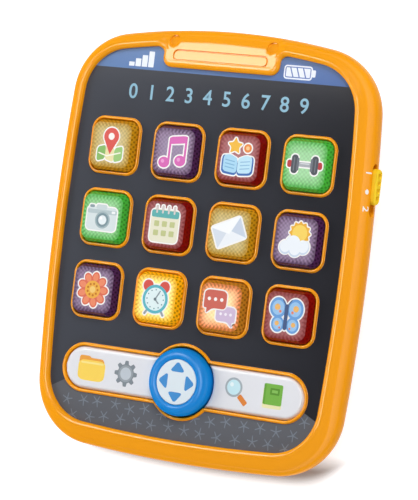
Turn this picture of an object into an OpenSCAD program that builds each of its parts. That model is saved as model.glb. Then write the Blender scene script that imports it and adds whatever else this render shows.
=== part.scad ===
// Toy tablet lying on its back: X across the screen, Y toward its top edge, Z out of the screen.
// The origin is the middle of the flat back.

/* [Body] */
// Width of the body at its widest
body_w = 150.4; // [146:0.2:190]
// Height of the body, bottom edge to top edge
body_h = 185; // [180:1:225]
// Thickness of the body, back to the crest of the rim
body_t = 24.7; // [24:0.1:30]
// Wall of both shells
wall = 2.2; // [1.8:0.1:2.6]
// Thickness of the flat back
floor_t = 2; // [1.6:0.1:2.4]
// Radius of the two top corners
top_corner_r = 28; // [26:1:40]
// Radius of the two bottom corners
bottom_corner_r = 28; // [24:1:36]
// Bow radius of the long sides
side_bow_r = 960; // [600:10:990]
// Bow radius of the top edge
top_bow_r = 310; // [300:10:900]
// Bow radius of the bottom edge
bottom_bow_r = 640; // [300:10:900]
// Inset of the flat back from the widest outline
bowl_inset = 13; // [10:0.5:13]
// Height at which the rounded back reaches the widest outline
bowl_h = 16; // [13:0.5:16]
// Height of the parting line between the two shells
parting_z = 9.5; // [8:0.5:10.5]

/* [Rim] */
// Height of the rim's crest above the faceplate
rim_rise = 2.7; // [2:0.1:3.2]
// Radius of the rim's bead
bead_r = 1.7; // [1.2:0.1:2]
// Inset of the bead's crest from the widest outline
bead_in = 5.5; // [5:0.1:7]
// Extra width of the rim along the bottom edge
bottom_rim = 2.6; // [0:0.1:3]
// Radius of the outer shoulder
shoulder_r = 4; // [3:0.1:5]
// Depth of the outer shoulder's lower edge below the crest
shoulder_drop = 6.1; // [5.5:0.1:7]

/* [Top tab] */
// Width of the tab that reaches down into the screen
tab_w = 56.4; // [44:0.2:70]
// Distance from the top edge to the tab's lower edge
tab_depth = 17.4; // [15:0.1:19]
// Radius of the tab's lower corners
tab_r = 4.2; // [3:0.1:6]
// Depth of the tab's face below the rim's crest
tab_drop = 0.8; // [0.4:0.1:1.2]
// Length of the bar outlined on the tab
bar_w = 46.8; // [36:0.2:50]
// Height of that bar
bar_h = 4.8; // [4:0.1:6]
// Radius of the two round dimples beside the bar
dimple_r = 2.5; // [2:0.1:3]

/* [Front panel] */
// Thickness of the front shell's panel
plate_t = 2; // [1.6:0.1:2.4]
// Thickness of the printed faceplate
faceplate_t = 0.5; // [0.3:0.1:0.8]
// Gap around the faceplate and in its holes
faceplate_gap = 0.15; // [0.1:0.05:0.3]
// Width of the raised collars
collar_w = 1.3; // [0.8:0.1:1.6]
// Height of the collars above the faceplate
collar_rise = 1; // [0.6:0.1:1.4]

/* [App buttons] */
// Columns of buttons
cols = 4; // [4]
// Rows of buttons
rows = 3; // [3]
// Spacing of the buttons, centre to centre
pitch = 31.5; // [30:0.5:32]
// Distance from the body's top edge to the first row
grid_from_top = 53.3; // [51:0.1:54]
// Width of a cap where it passes its collar
cap_w = 21.9; // [18:0.1:23.4]
// Corner radius of a cap
cap_r = 4.2; // [3:0.1:5]
// Narrowing of a cap on each side toward its top
cap_taper = 1.3; // [0.5:0.05:2.5]
// Height of a cap above its collar
cap_rise = 3; // [2:0.1:4]
// Walls of a hollow cap
cap_wall = 1.5; // [1.2:0.1:2]
// Gap between a cap and its opening, on each side
cap_gap = 0.3; // [0.2:0.05:0.4]
// Width of the stop flange outside a cap's opening
flange_w = 1.6; // [1:0.1:1.8]
// Thickness of the stop flanges
flange_t = 1.5; // [1:0.1:1.8]
// Travel of every push button
press_travel = 1.5; // [1:0.1:1.8]
// Gap at the rest stops of moving pieces
seat_gap = 0.05; // [0.03:0.01:0.1]

/* [Dock] */
// Length of the white dock panel
dock_w = 117.2; // [100:0.2:120]
// Height of the white dock panel
dock_h = 18.4; // [16:0.2:20]
// Gap around the dock panel
dock_gap = 0.2; // [0.1:0.05:0.3]
// Depth of the dock panel's face below its collar
dock_drop = 0.3; // [0.1:0.1:0.8]
// Distance from the body's bottom edge to the dock's middle
dock_from_bottom = 34.8; // [33:0.1:38]
// Radius of the navigation button
nav_r = 14.4; // [12:0.1:15.5]
// Gap around the navigation button
nav_gap = 0.5; // [0.3:0.05:0.6]
// Height of the navigation button above the collar
nav_rise = 4.5; // [3:0.1:5.5]
// Radius of the navigation button's white inlay
inlay_r = 9.6; // [7:0.1:10]
// Thickness of that inlay
inlay_t = 0.9; // [0.6:0.1:1.2]

/* [Side switch] */
// Length of the slot in the right wall
slot_l = 21.9; // [20:0.1:24]
// Height of the slot
slot_h = 5.2; // [4:0.1:5.6]
// Distance from the body's top edge to the slot's middle
slot_from_top = 60.6; // [58:0.1:64]
// Depth of the slot's middle below the crest of the rim
slot_drop = 10.3; // [9:0.1:10.5]
// Length of the sliding knob
knob_l = 14.9; // [12:0.1:16]
// Gap between the knob and the slot, above and below
knob_gap = 0.2; // [0.15:0.05:0.3]
// Distance from the slot's upper end to the knob at rest
knob_rest = 1.9; // [1:0.1:3]
// Height of the knob above the side wall
knob_rise = 2; // [1:0.1:3]
// Distance from the slot's lower end to the knob when it is slid down
slide_end = 0.5; // [0.3:0.1:2]

/* [Electronics] */
// Height of the circuit board's underside above the back
board_z = 9; // [8.8:0.1:9.6]
// Thickness of the circuit board
board_t = 1.6; // [1.2:0.2:2]
// Width of the board beyond the outer button columns
board_side = 10.15; // [9.9:0.05:11]
// Height of the board beyond the first button row
board_top_margin = 9.8; // [9:0.1:10.5]
// Height of the board below the dock's middle
board_low_margin = 13.3; // [11:0.1:14]
// Thickness of the rubber keypad's sheet
keypad_t = 1.2; // [0.8:0.1:1.5]
// Height of a rubber dome
dome_h = 4.1; // [3.6:0.1:4.6]
// Radius of a rubber dome's foot
dome_r = 6; // [5:0.1:6]
// Radius of a button's plunger
plunger_r = 3.4; // [2.6:0.1:3.8]
// Diameter of the loudspeaker
speaker_d = 28; // [22:1:34]
// Distance of the loudspeaker below the third button row
speaker_below = 6; // [2:0.5:8]
// Height of the loudspeaker
speaker_t = 6.2; // [5:0.1:6.4]

/* [Batteries] */
// Diameter of a battery cell
cell_d = 10.5; // [9.5:0.1:10.7]
// Length of a battery cell
cell_l = 44.5; // [40:0.1:54]
// Gap around the cells
cell_gap = 0.4; // [0.3:0.05:0.6]
// Room for a contact at each end of a cell
contact_space = 2.95; // [2.5:0.05:4]
// Walls of the battery compartment
box_wall = 1.4; // [1.2:0.1:1.8]
// Gap around the battery door
door_gap = 0.25; // [0.2:0.05:0.4]
// Ledge that the battery door closes on, each side
ledge_w = 2.2; // [1.8:0.1:2.6]
// Radius of the battery door's hinge pins
pin_r = 0.6; // [0.5:0.05:0.65]
// Radial clearance of the hinge pins and of the captive screw
pin_gap = 0.05; // [0.02:0.01:0.08]

/* [Screws] */
// Radius of a screw's shank
screw_r = 1.5; // [1.2:0.05:1.6]
// Radius of a screw's head
head_r = 2.7; // [2.4:0.05:2.8]
// Thickness of a screw's head
head_t = 1.9; // [1.4:0.1:2]
// Radius of the screw posts
post_r = 3.5; // [3.2:0.1:3.8]
// Inset of the two side case screws from the widest outline
screw_in = 11.5; // [11:0.1:12]

/* [Hidden] */
$fa = 2;
$fs = 0.4;
step = 8;
sweep_step = 6;
section_step = 5;
eps = 0.01;
buttons = cols * rows;

half_w = body_w / 2;
half_h = body_h / 2;

// Heights, from the crest of the rim down and from the board up
plate_top = body_t - rim_rise - faceplate_t;
plate_bottom = plate_top - plate_t;
face_z = plate_top + faceplate_t;
collar_z = face_z + collar_rise;
cap_top = collar_z + cap_rise;
flange_top = plate_bottom - seat_gap;
shoulder_z = body_t - shoulder_drop;
board_top = board_z + board_t;
keypad_top = board_top + keypad_t;
dome_top = keypad_top + dome_h;
plunger_z = dome_top + seat_gap;

// Places of the buttons and of the dock
first_x = -pitch * (cols - 1) / 2;
first_y = half_h - grid_from_top;
last_y = first_y - pitch * (rows - 1);
dock_y = -half_h + dock_from_bottom;
function button_at(i) = [first_x + pitch * (i % cols), first_y - pitch * floor(i / cols)];
opening_w = cap_w + 2 * cap_gap;
opening_r = cap_r + cap_gap;
collar_out = opening_w + 2 * collar_w;
collar_r = opening_r + collar_w;
nav_hole_r = nav_r + nav_gap;
nav_collar_r = nav_hole_r + dock_gap + collar_w;

// The outline is eight tangent arcs, so every inset of it keeps the same centres
function meet(c0, r0, c1, r1, side) =
    let (d = norm(c1 - c0), u = (c1 - c0) / d)
    let (a = (r0 * r0 - r1 * r1 + d * d) / (2 * d), h = sqrt(r0 * r0 - a * a))
    c0 + a * u + side * h * [-u.y, u.x];
function bearing(from, to) = atan2(to.y - from.y, to.x - from.x);
function flip(p) = [-p.x, p.y];
side_c = [half_w - side_bow_r, 0];
top_c = [0, half_h - top_bow_r];
bottom_c = [0, -half_h + bottom_bow_r];
top_corner_c = meet(side_c, side_bow_r - top_corner_r, top_c, top_bow_r - top_corner_r, 1);
right_a1 = bearing(side_c, top_corner_c);
top_a = bearing(top_c, top_corner_c);
// Each arc is its centre, radius, first angle and last angle; the lift raises the bottom edge
function arcs(lift) =
    let (low_c = bottom_c + [0, lift])
    let (low_corner_c = meet(side_c, side_bow_r - bottom_corner_r, low_c, bottom_bow_r - bottom_corner_r, -1))
    let (right_a0 = bearing(side_c, low_corner_c), bottom_a = bearing(low_c, low_corner_c)) [
        [side_c, side_bow_r, right_a0, right_a1],
        [top_corner_c, top_corner_r, right_a1, top_a],
        [top_c, top_bow_r, top_a, 180 - top_a],
        [flip(top_corner_c), top_corner_r, 180 - top_a, 180 - right_a1],
        [flip(side_c), side_bow_r, 180 - right_a1, 180 - right_a0],
        [flip(low_corner_c), bottom_corner_r, 180 - right_a0, 180 - bottom_a],
        [low_c, bottom_bow_r, 180 - bottom_a, 360 + bottom_a],
        [low_corner_c, bottom_corner_r, 360 + bottom_a, 360 + right_a0]
    ];
function arc(c, r, a0, a1, n) = [for (i = [0 : n]) let (a = a0 + (a1 - a0) * i / n) c + r * [cos(a), sin(a)]];
function but_last(list) = [for (i = [0 : len(list) - 2]) list[i]];
function outline(inset, lift = 0) =
    [for (s = arcs(lift)) each but_last(arc(s[0], s[1] - inset, s[2], s[3], sweep_step))];
function side_x(y, inset) = side_c.x + sqrt(pow(side_bow_r - inset, 2) - y * y);
function rounded(w, h, r) = [
    for (q = [[1, 1, 0], [-1, 1, 90], [-1, -1, 180], [1, -1, 270]])
        each arc([q[0] * (w / 2 - r), q[1] * (h / 2 - r)], r, q[2], q[2] + 90, step)
];
function stadium(l, h) = concat(
    arc([l / 2 - h / 2, 0], h / 2, -90, 90, 2 * step),
    arc([h / 2 - l / 2, 0], h / 2, 90, 270, 2 * step)
);

// Section of the body as inset from the widest outline, height and lift of the bottom edge
function level(points, lift) = [for (p = points) [p[0], p[1], lift]];
function bowl(t) = [bowl_inset * (1 - sin(t)), bowl_h * (1 - cos(t))];
function bowl_inside(t) =
    [bowl_inset - (bowl_inset - wall) * sin(t), floor_t + (bowl_h - floor_t) * (1 - cos(t))];
part_t = acos(1 - parting_z / bowl_h);
part_t_inside = acos(1 - (parting_z - floor_t) / (bowl_h - floor_t));
shoulder_a = 65;
bead_a = 20;
recess_in = bead_in + bead_r;
ring_w = 3;
ring_in = recess_in + ring_w;
ring_lap = 0.5;
rear_in = bowl_inset + ring_w / 2;
lap_h = 1.5;
lap_gap = 0.1;
lap_in = (bowl(part_t).x + bowl_inside(part_t_inside).x) / 2;
front_section = concat(
    level([for (i = [0 : section_step]) bowl(part_t + (90 - part_t) * i / section_step)], 0),
    level([for (i = [0 : section_step]) let (a = shoulder_a * i / section_step)
        [shoulder_r * (1 - cos(a)), shoulder_z + shoulder_r * sin(a)]], 0),
    level([for (i = [0 : section_step]) let (a = bead_a + (180 - bead_a) * i / section_step)
        [bead_in - bead_r * cos(a), body_t - bead_r + bead_r * sin(a)]], bottom_rim),
    level([[recess_in, plate_top], [ring_in, plate_top], [ring_in, plate_bottom]], bottom_rim),
    level([[wall, plate_bottom], [wall, parting_z + lap_h + lap_gap]], 0),
    level([[lap_in, parting_z + lap_h + lap_gap], [lap_in, parting_z]], 0)
);
rear_section = level(concat(
    [for (i = [0 : section_step]) bowl(part_t * i / section_step)],
    [[lap_in + lap_gap, parting_z], [lap_in + lap_gap, parting_z + lap_h]],
    [[bowl_inside(part_t_inside).x, parting_z + lap_h]],
    [for (i = [0 : section_step]) bowl_inside(part_t_inside * (1 - i / section_step))],
    [[rear_in, floor_t], [rear_in, 0]]
), 0);

// Top tab
tab_z = body_t - tab_drop;
tab_y = half_h - tab_depth;
tab_top_y = half_h - bead_in;
bar_y = tab_y + bar_h;
groove_w = 0.6;
groove_d = 0.4;
dimple_y = half_h - shoulder_r - dimple_r / 2;
dimple_d = 0.9;

// Side switch
slot_y = half_h - slot_from_top;
slot_z = body_t - slot_drop;
knob_y = slot_y + slot_l / 2 - knob_rest - knob_l / 2;
knob_h = slot_h - 2 * knob_gap;
knob_r = 0.47 * knob_h;
slide_travel = slot_l - knob_l - knob_rest - slide_end;
switch_y = knob_y - slide_travel / 2;
switch_w = 3.7;
switch_l = 9;
switch_h = 3.6;
lever_w = 2;
lever_z = board_top + switch_h / 2;
lever_out = 4.3;
lever_gap = 0.1;
prong_w = 1.5;
slide_plate_t = 1.6;
slide_plate_lap = 1.5;
slide_plate_l = slot_l + slide_travel + 2 * slide_plate_lap;
slide_plate_gap = 0.25;
slide_plate_low = parting_z + lap_h + slide_plate_gap;
slide_plate_high = plate_bottom - slide_plate_gap;
slide_x1 = side_x(knob_y + slide_plate_l / 2, wall) - slide_plate_gap;
slide_x0 = slide_x1 - slide_plate_t;
guide_t = 1.5;
guide_l = 4;

// Circuit board and keypad
board_x = first_x - board_side;
board_y0 = dock_y - board_low_margin;
board_y1 = first_y + board_top_margin;
keypad_side = dome_r + 1.25;
keypad_edge = 1.5;
well_r = dome_r - 1.5;
led = [3, 2.6, 1.1];
led_off = -8.5;
led_gap = 1;
stand_r = 2.75;
stand_gap = 0.5;
stand_hole_r = 1.05;
stand_screw_r = 1;
stand_head_r = 1.9;
stand_head_t = 1.3;
stand_screw_l = 4.5;
stand_x = pitch;
stand_ys = [first_y - pitch / 2, (last_y + dock_y) / 2];
chip_at = [-pitch * 0.95, last_y + pitch / 2];
chip_r = 7;
chip_t = 1.8;
capacitor_r = 2.5;
capacitor_l = 5.5;
capacitor_xs = [pitch * 0.8, pitch];
speaker_y = last_y - speaker_below;
speaker_wall = 1.5;
speaker_fit = 0.2;
speaker_ring_h = 4;
speaker_rim = 3;
speaker_rim_t = 1.2;
basket_t = 0.8;
magnet_t = 2.4;
grille_r = 1.1;
grille_rings = 3;
grille_step = 3.6;
lead_r = 0.6;
wire_r = 0.7;

// Battery compartment and door
box_l = cell_l + 2 * contact_space;
box_w = 2 * cell_d + 3 * cell_gap;
box_from_board = 3;
box_y0 = board_y1 + box_from_board;
box_yc = box_y0 + box_w / 2;
cell_lift = 0.3;
cell_z = floor_t + cell_lift + cell_d / 2;
roof_z = cell_z + cell_d / 2 + cell_lift;
function cell_y(i) = box_y0 + cell_gap + cell_d / 2 + i * (cell_d + cell_gap);
contact_t = 0.4;
contact_h = cell_d - 2;
contact_w = cell_d * 0.7;
door_z = 0.25;
door_t = floor_t - door_z - seat_gap;
hinge_r = door_t / 2;
hinge_out = 3;
hinge_x = -(box_l / 2 + box_wall + hinge_out);
hinge_z = door_z + hinge_r;
cup_r = 4;
cup_gap = 0.6;
cup_h = 4.3;
cup_top = door_z + cup_h;
door_screw_x = box_l / 2 + box_wall + cup_gap + cup_r;
door_end = 0.4;
door_x1 = door_screw_x + cup_r + door_end;
door_w = box_w + 2 * ledge_w;
ledge_t = 1.4;
ledge_margin = 2.5;
pin_l = 1.6;
seat_z = 2.5;
door_boss_z = cup_top + cup_gap;
door_boss_h = 5;
door_bore_gap = 0.7;
door_thread_l = 3.8;
door_screw_tip = door_boss_z + door_thread_l;
wire_clear = 1.5;
wire_lap = 1.7;
wire_end_y = board_y1 - wire_lap;

// Case screws
counterbore_gap = 0.4;
case_seat_z = 3;
post_gap = 0.05;
shank_gap = 0.1;
thread_gap = 0.02;
case_tip_gap = 3;
case_screw_tip = plate_bottom - case_tip_gap;
corner_screw_in = 25.3;
top_screw_in = 26.5;
post_clear = 2.5;
function side_pair(x, y) = [[x, y], [-x, y]];
case_screw_at = concat(
    side_pair(half_w - corner_screw_in, half_h - top_screw_in),
    side_pair(half_w - screw_in, (first_y + last_y) / 2 - pitch / 2),
    side_pair(half_w - corner_screw_in, board_y0 - post_r - post_clear)
);
stands = [for (x = [-stand_x, stand_x]) for (y = stand_ys) [x, y]];

module slab(points, z0, z1) {
    translate([0, 0, z0]) linear_extrude(z1 - z0) polygon(points);
}

// A closed section carried round the outline, with flat facets between neighbouring stations
module sweep(section) {
    n = len(section);
    loops = [for (p = section) outline(p[0], p[2])];
    m = len(loops[0]);
    points = [for (i = [0 : m - 1]) for (j = [0 : n - 1]) [loops[j][i].x, loops[j][i].y, section[j][1]]];
    faces = [for (i = [0 : m - 1]) for (j = [0 : n - 1])
        let (i1 = (i + 1) % m, j1 = (j + 1) % n)
        let (a = i * n + j, b = i * n + j1, c = i1 * n + j1, d = i1 * n + j)
        each section[j][2] == section[j1][2] ? [[a, b, c, d]] : [[a, b, c], [a, c, d]]];
    polyhedron(points, faces);
}

module at_buttons() {
    for (i = [0 : buttons - 1])
        translate(button_at(i)) children();
}

module at_points(points) {
    for (p = points)
        translate([p[0], p[1], 0]) children();
}

module rod(p, axis, r, l) {
    turn = axis == "x" ? [0, 90, 0] : axis == "y" ? [-90, 0, 0] : [0, 0, 0];
    translate(p) rotate(turn) cylinder(r = r, h = l);
}

module box(x, y, z) {
    translate([x[0], y[0], z[0]]) cube([x[1] - x[0], y[1] - y[0], z[1] - z[0]]);
}

// Outline of the dock with the round bulge of the navigation button, grown by a margin
module dock_outline(margin, bulge_r) {
    translate([0, dock_y]) {
        polygon(stadium(dock_w + 2 * margin, dock_h + 2 * margin));
        circle(r = bulge_r);
    }
}

module tab_outline(grow) {
    w = tab_w + 2 * grow;
    h = tab_top_y - tab_y + tab_r + grow;
    translate([0, tab_y - grow + h / 2]) polygon(rounded(w, h, tab_r + grow));
}

module screw(seat, tip, shank, head, head_h) {
    slot_w = head * 0.34;
    slot_l = head * 1.3;
    slot_d = head_h * 0.6;
    difference() {
        union() {
            translate([0, 0, seat - head_h]) cylinder(r = head, h = head_h);
            translate([0, 0, seat - eps]) cylinder(r = shank, h = tip - seat + eps);
        }
        for (a = [0, 90])
            rotate([0, 0, a])
                translate([-slot_l / 2, -slot_w / 2, seat - head_h - eps]) cube([slot_l, slot_w, slot_d]);
    }
}

module front_case() {
    collar_foot = plate_bottom + plate_t / 2;
    color("orange") difference() {
        union() {
            sweep(front_section);
            slab(outline(ring_in - ring_lap, bottom_rim), plate_bottom, plate_top);
            translate([0, 0, collar_foot]) linear_extrude(collar_z - collar_foot) {
                at_buttons() polygon(rounded(collar_out, collar_out, collar_r));
                dock_outline(dock_gap + collar_w, nav_collar_r);
            }
            translate([0, 0, collar_foot]) linear_extrude(tab_z - collar_foot) tab_outline(0);
            at_points(case_screw_at)
                translate([0, 0, board_z]) cylinder(r = post_r, h = plate_bottom + eps - board_z);
            at_points(stands)
                translate([0, 0, board_top]) cylinder(r = stand_r, h = plate_bottom + eps - board_top);
            for (s = [-1, 1])
                box([slide_x0 - slide_plate_gap - guide_t, slide_x0 - slide_plate_gap],
                    [slot_y + s * slot_l / 2 - guide_l / 2, slot_y + s * slot_l / 2 + guide_l / 2],
                    [slot_z, plate_bottom + eps]);
        }
        translate([0, 0, plate_bottom - 1]) linear_extrude(collar_z - plate_bottom + 2) {
            at_buttons() polygon(rounded(opening_w, opening_w, opening_r));
            dock_outline(dock_gap, nav_hole_r + dock_gap);
        }
        translate([0, bar_y, tab_z - groove_d]) linear_extrude(1) difference() {
            polygon(stadium(bar_w + groove_w, bar_h + groove_w));
            polygon(stadium(bar_w - groove_w, bar_h - groove_w));
        }
        for (s = [-1, 1])
            translate([s * bar_w / 2, dimple_y, tab_z - dimple_d]) cylinder(r = dimple_r, h = rim_rise);
        translate([half_w - 2 * wall, slot_y, slot_z])
            rotate([90, 0, 90]) linear_extrude(3 * wall) polygon(stadium(slot_l, slot_h));
        at_points(case_screw_at)
            translate([0, 0, board_z - 1])
                cylinder(r = screw_r + thread_gap, h = case_screw_tip + 2 - board_z);
        at_points(stands)
            translate([0, 0, board_top - 1]) cylinder(r = stand_screw_r + thread_gap, h = stand_screw_l + 1.5);
    }
}

module rear_case() {
    color("darkorange") difference() {
        union() {
            sweep(rear_section);
            slab(outline(rear_in - ring_lap), 0, floor_t);
            box([hinge_x - hinge_r - ledge_margin, door_x1 + ledge_margin],
                [box_yc - door_w / 2 - ledge_margin, box_yc + door_w / 2 + ledge_margin],
                [floor_t / 2, floor_t + ledge_t]);
            box([-box_l / 2 - box_wall, box_l / 2 + box_wall],
                [box_y0 - box_wall, box_y0 + box_w + box_wall],
                [floor_t + ledge_t / 2, roof_z + box_wall]);
            translate([door_screw_x, box_yc, door_boss_z]) cylinder(r = cup_r, h = door_boss_h);
            box([box_l / 2 + box_wall / 2, door_screw_x - cup_r / 2 - screw_r],
                [box_yc - cup_r / 2, box_yc + cup_r / 2],
                [door_boss_z, door_boss_z + door_boss_h]);
            at_points(case_screw_at)
                translate([0, 0, floor_t / 2]) cylinder(r = post_r + 1, h = board_z - post_gap - floor_t / 2);
            translate([0, speaker_y, floor_t / 2])
                cylinder(r = speaker_d / 2 + speaker_fit + speaker_wall, h = speaker_ring_h + floor_t / 2);
        }
        box([hinge_x, door_x1 + door_gap],
            [box_yc - door_w / 2 - door_gap, box_yc + door_w / 2 + door_gap], [-1, floor_t]);
        rod([hinge_x, box_yc - door_w / 2 - door_gap, hinge_z], "y",
            hinge_r + door_gap, door_w + 2 * door_gap);
        box([hinge_x - hinge_r - door_gap, hinge_x],
            [box_yc - door_w / 2 - door_gap, box_yc + door_w / 2 + door_gap], [-1, hinge_z]);
        rod([hinge_x, box_yc - door_w / 2 - pin_l - pin_gap, hinge_z], "y",
            pin_r + pin_gap, door_w + 2 * pin_l + 2 * pin_gap);
        box([-box_l / 2, box_l / 2], [box_y0, box_y0 + box_w], [floor_t / 2, roof_z]);
        translate([door_screw_x, box_yc, 0]) cylinder(r = cup_r + cup_gap, h = door_boss_z);
        translate([door_screw_x, box_yc, 0])
            cylinder(r = screw_r + door_bore_gap, h = door_boss_z + door_boss_h - 1);
        at_points(case_screw_at) {
            translate([0, 0, -1]) cylinder(r = screw_r + shank_gap, h = board_z + 1);
            translate([0, 0, -1]) cylinder(r = head_r + counterbore_gap, h = case_seat_z + 1);
        }
        translate([0, speaker_y, floor_t]) cylinder(r = speaker_d / 2 + speaker_fit, h = speaker_ring_h + 1);
        for (k = [0 : grille_rings - 1])
            for (i = [0 : max(6 * k, 1) - 1])
                translate([0, speaker_y, -1]) rotate([0, 0, 60 * i / max(k, 1)])
                    translate([grille_step * k, 0, 0]) cylinder(r = grille_r, h = floor_t + 2);
        for (i = [0, 1])
            rod([box_l / 2 - 1, cell_y(i), roof_z - 2 * wire_r], "x", wire_r + shank_gap, box_wall + 2);
    }
}

module faceplate() {
    color([0.21, 0.22, 0.24]) translate([0, 0, plate_top]) linear_extrude(faceplate_t) difference() {
        polygon(outline(recess_in + faceplate_gap, bottom_rim));
        at_buttons() polygon(rounded(
            collar_out + 2 * faceplate_gap, collar_out + 2 * faceplate_gap, collar_r + faceplate_gap));
        dock_outline(dock_gap + collar_w + faceplate_gap, nav_collar_r + faceplate_gap);
        tab_outline(faceplate_gap);
    }
}

module dock_panel() {
    flange_rim = 1.2 * collar_w;
    color("whitesmoke") difference() {
        union() {
            translate([0, dock_y, 0])
                slab(stadium(dock_w, dock_h), plate_bottom - flange_t, collar_z - dock_drop);
            translate([0, 0, plate_bottom - flange_t])
                linear_extrude(flange_t) dock_outline(dock_gap + flange_rim, nav_collar_r + flange_rim);
        }
        translate([0, dock_y, plate_bottom - 2 * flange_t])
            cylinder(r = nav_hole_r, h = collar_z - plate_bottom + 3 * flange_t);
    }
}

// A cap is a hollow tapered shell with a stop flange and a plunger that rests on its dome
cap_colors = [
    "gold", "purple", "firebrick", "green",
    "limegreen", "darkred", "khaki", "indigo",
    "purple", "yellow", "coral", "red"
];
module app_button(i) {
    flange = opening_w + 2 * flange_w;
    flange_bottom = flange_top - flange_t;
    color(cap_colors[i]) translate(button_at(i)) {
        difference() {
            union() {
                cap_solid(0, flange_bottom, cap_top);
                slab(rounded(flange, flange, opening_r), flange_bottom, flange_top);
            }
            cap_solid(cap_wall, flange_bottom - 1, cap_top - cap_wall);
        }
        translate([0, 0, plunger_z]) cylinder(r = plunger_r, h = cap_top - cap_wall / 2 - plunger_z);
    }
}

module cap_solid(inset, z0, z1) {
    w = cap_w - 2 * inset;
    r = max(cap_r - inset, 1);
    top = w - 2 * cap_taper;
    hull() {
        slab(rounded(w, w, r), z0, collar_z - cap_rise / 10);
        slab(rounded(top, top, r), z1 - eps, z1);
    }
}

// A dome on the keypad, with the contact pill that meets the board at the end of the travel
module rubber_dome(x, y) {
    skin = 1;
    wall_w = 1.2;
    land = 0.6;
    crown = dome_r - 2 * wall_w;
    pill_r = crown / 2;
    pill_z = press_travel - keypad_t;
    color("gainsboro") translate([x, y, keypad_top]) rotate_extrude() polygon([
        [dome_r - wall_w, 0], [dome_r, 0], [dome_r, land], [crown, dome_h], [0, dome_h], [0, pill_z],
        [pill_r, pill_z], [pill_r, dome_h - skin], [crown - skin, dome_h - skin], [dome_r - wall_w, land]
    ]);
}

// Navigation button: a round cap with a rolled edge and a pocket for its inlay
nav_flange_top = plate_bottom - flange_t - seat_gap;
nav_flange_bottom = nav_flange_top - flange_t;
nav_top = collar_z + nav_rise;
nav_roll_r = 3;
inlay_drop = 0.4;
inlay_floor = nav_top - inlay_drop - inlay_t;
inlay_fit = 0.1;
nav_roof = inlay_floor - cap_wall;
module nav_button() {
    color("dodgerblue") translate([0, dock_y, 0]) rotate_extrude() polygon(concat(
        [[0, plunger_z], [plunger_r, plunger_z], [plunger_r, nav_roof], [nav_r - nav_roll_r, nav_roof]],
        [[nav_r - cap_wall, nav_roof - nav_roll_r], [nav_r - cap_wall, nav_flange_bottom]],
        [[nav_r + flange_t, nav_flange_bottom], [nav_r + flange_t, nav_flange_top], [nav_r, nav_flange_top]],
        arc([nav_r - nav_roll_r, nav_top - nav_roll_r], nav_roll_r, 0, 90, step),
        [[inlay_r + inlay_fit, nav_top - inlay_drop], [inlay_r + inlay_fit, inlay_floor], [0, inlay_floor]]
    ));
}

module nav_inlay() {
    color("aliceblue") translate([0, dock_y, inlay_floor]) cylinder(r = inlay_r, h = inlay_t);
}

// The knob stands out of the slot, its plate slides behind the wall and its fork holds the lever
module slider_knob() {
    prong_x0 = -board_x + lever_out * 0.4;
    prong_off = lever_w / 2 + lever_gap + prong_w / 2;
    color("gold") {
        translate([slide_x1 - eps, knob_y, slot_z])
            rotate([90, 0, 90]) linear_extrude(side_x(knob_y, 0) + knob_rise - slide_x1)
                polygon(rounded(knob_l, knob_h, knob_r));
        box([slide_x0, slide_x1],
            [knob_y - slide_plate_l / 2, knob_y + slide_plate_l / 2], [slide_plate_low, slide_plate_high]);
        for (s = [-1, 1])
            translate([prong_x0, knob_y + s * prong_off - prong_w / 2, lever_z - lever_w / 2])
                cube([slide_x0 + eps - prong_x0, prong_w, lever_w]);
    }
}

module switch_lever() {
    color("black") box([-board_x + eps, -board_x + lever_out],
        [knob_y - lever_w / 2, knob_y + lever_w / 2], [lever_z - lever_w / 2, lever_z + lever_w / 2]);
}

module slide_switch() {
    color("silver") box([-board_x - switch_w, -board_x],
        [switch_y - switch_l / 2, switch_y + switch_l / 2], [board_top, board_top + switch_h]);
}

module rubber_keypad() {
    x1 = -first_x + keypad_side;
    y0 = dock_y - dome_r - keypad_edge;
    y1 = first_y + dome_r + keypad_edge;
    color("lightgray") translate([0, 0, board_top]) linear_extrude(keypad_t) difference() {
        translate([0, (y0 + y1) / 2]) polygon(rounded(2 * x1, y1 - y0, 3));
        at_buttons() circle(r = well_r);
        at_buttons() translate([0, led_off]) square([led.x + led_gap, led.y + led_gap], center = true);
        translate([0, dock_y]) circle(r = well_r);
        at_points(stands) circle(r = stand_r + stand_gap);
        translate([-board_x - switch_w - led_gap / 2, switch_y - switch_l / 2 - led_gap])
            square([switch_w + keypad_side, switch_l + 2 * led_gap]);
    }
}

module circuit_board() {
    color("darkgreen") translate([0, 0, board_z]) linear_extrude(board_t) difference() {
        translate([0, (board_y0 + board_y1) / 2]) polygon(rounded(-2 * board_x, board_y1 - board_y0, 3));
        at_points(stands) circle(r = stand_hole_r);
    }
}

module controller_chip() {
    color("black") translate([chip_at.x, chip_at.y, board_z]) mirror([0, 0, 1]) rotate_extrude() polygon([
        [0, 0], [chip_r, 0], [chip_r * 0.9, chip_t * 0.5], [chip_r * 0.6, chip_t * 0.85], [0, chip_t]
    ]);
}

module capacitors() {
    color("navy") for (x = capacitor_xs)
        translate([x, chip_at.y, board_z - capacitor_l]) cylinder(r = capacitor_r, h = capacitor_l);
}

module button_leds() {
    color("white") at_buttons() translate([-led.x / 2, led_off - led.y / 2, board_top]) cube(led);
}

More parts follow.
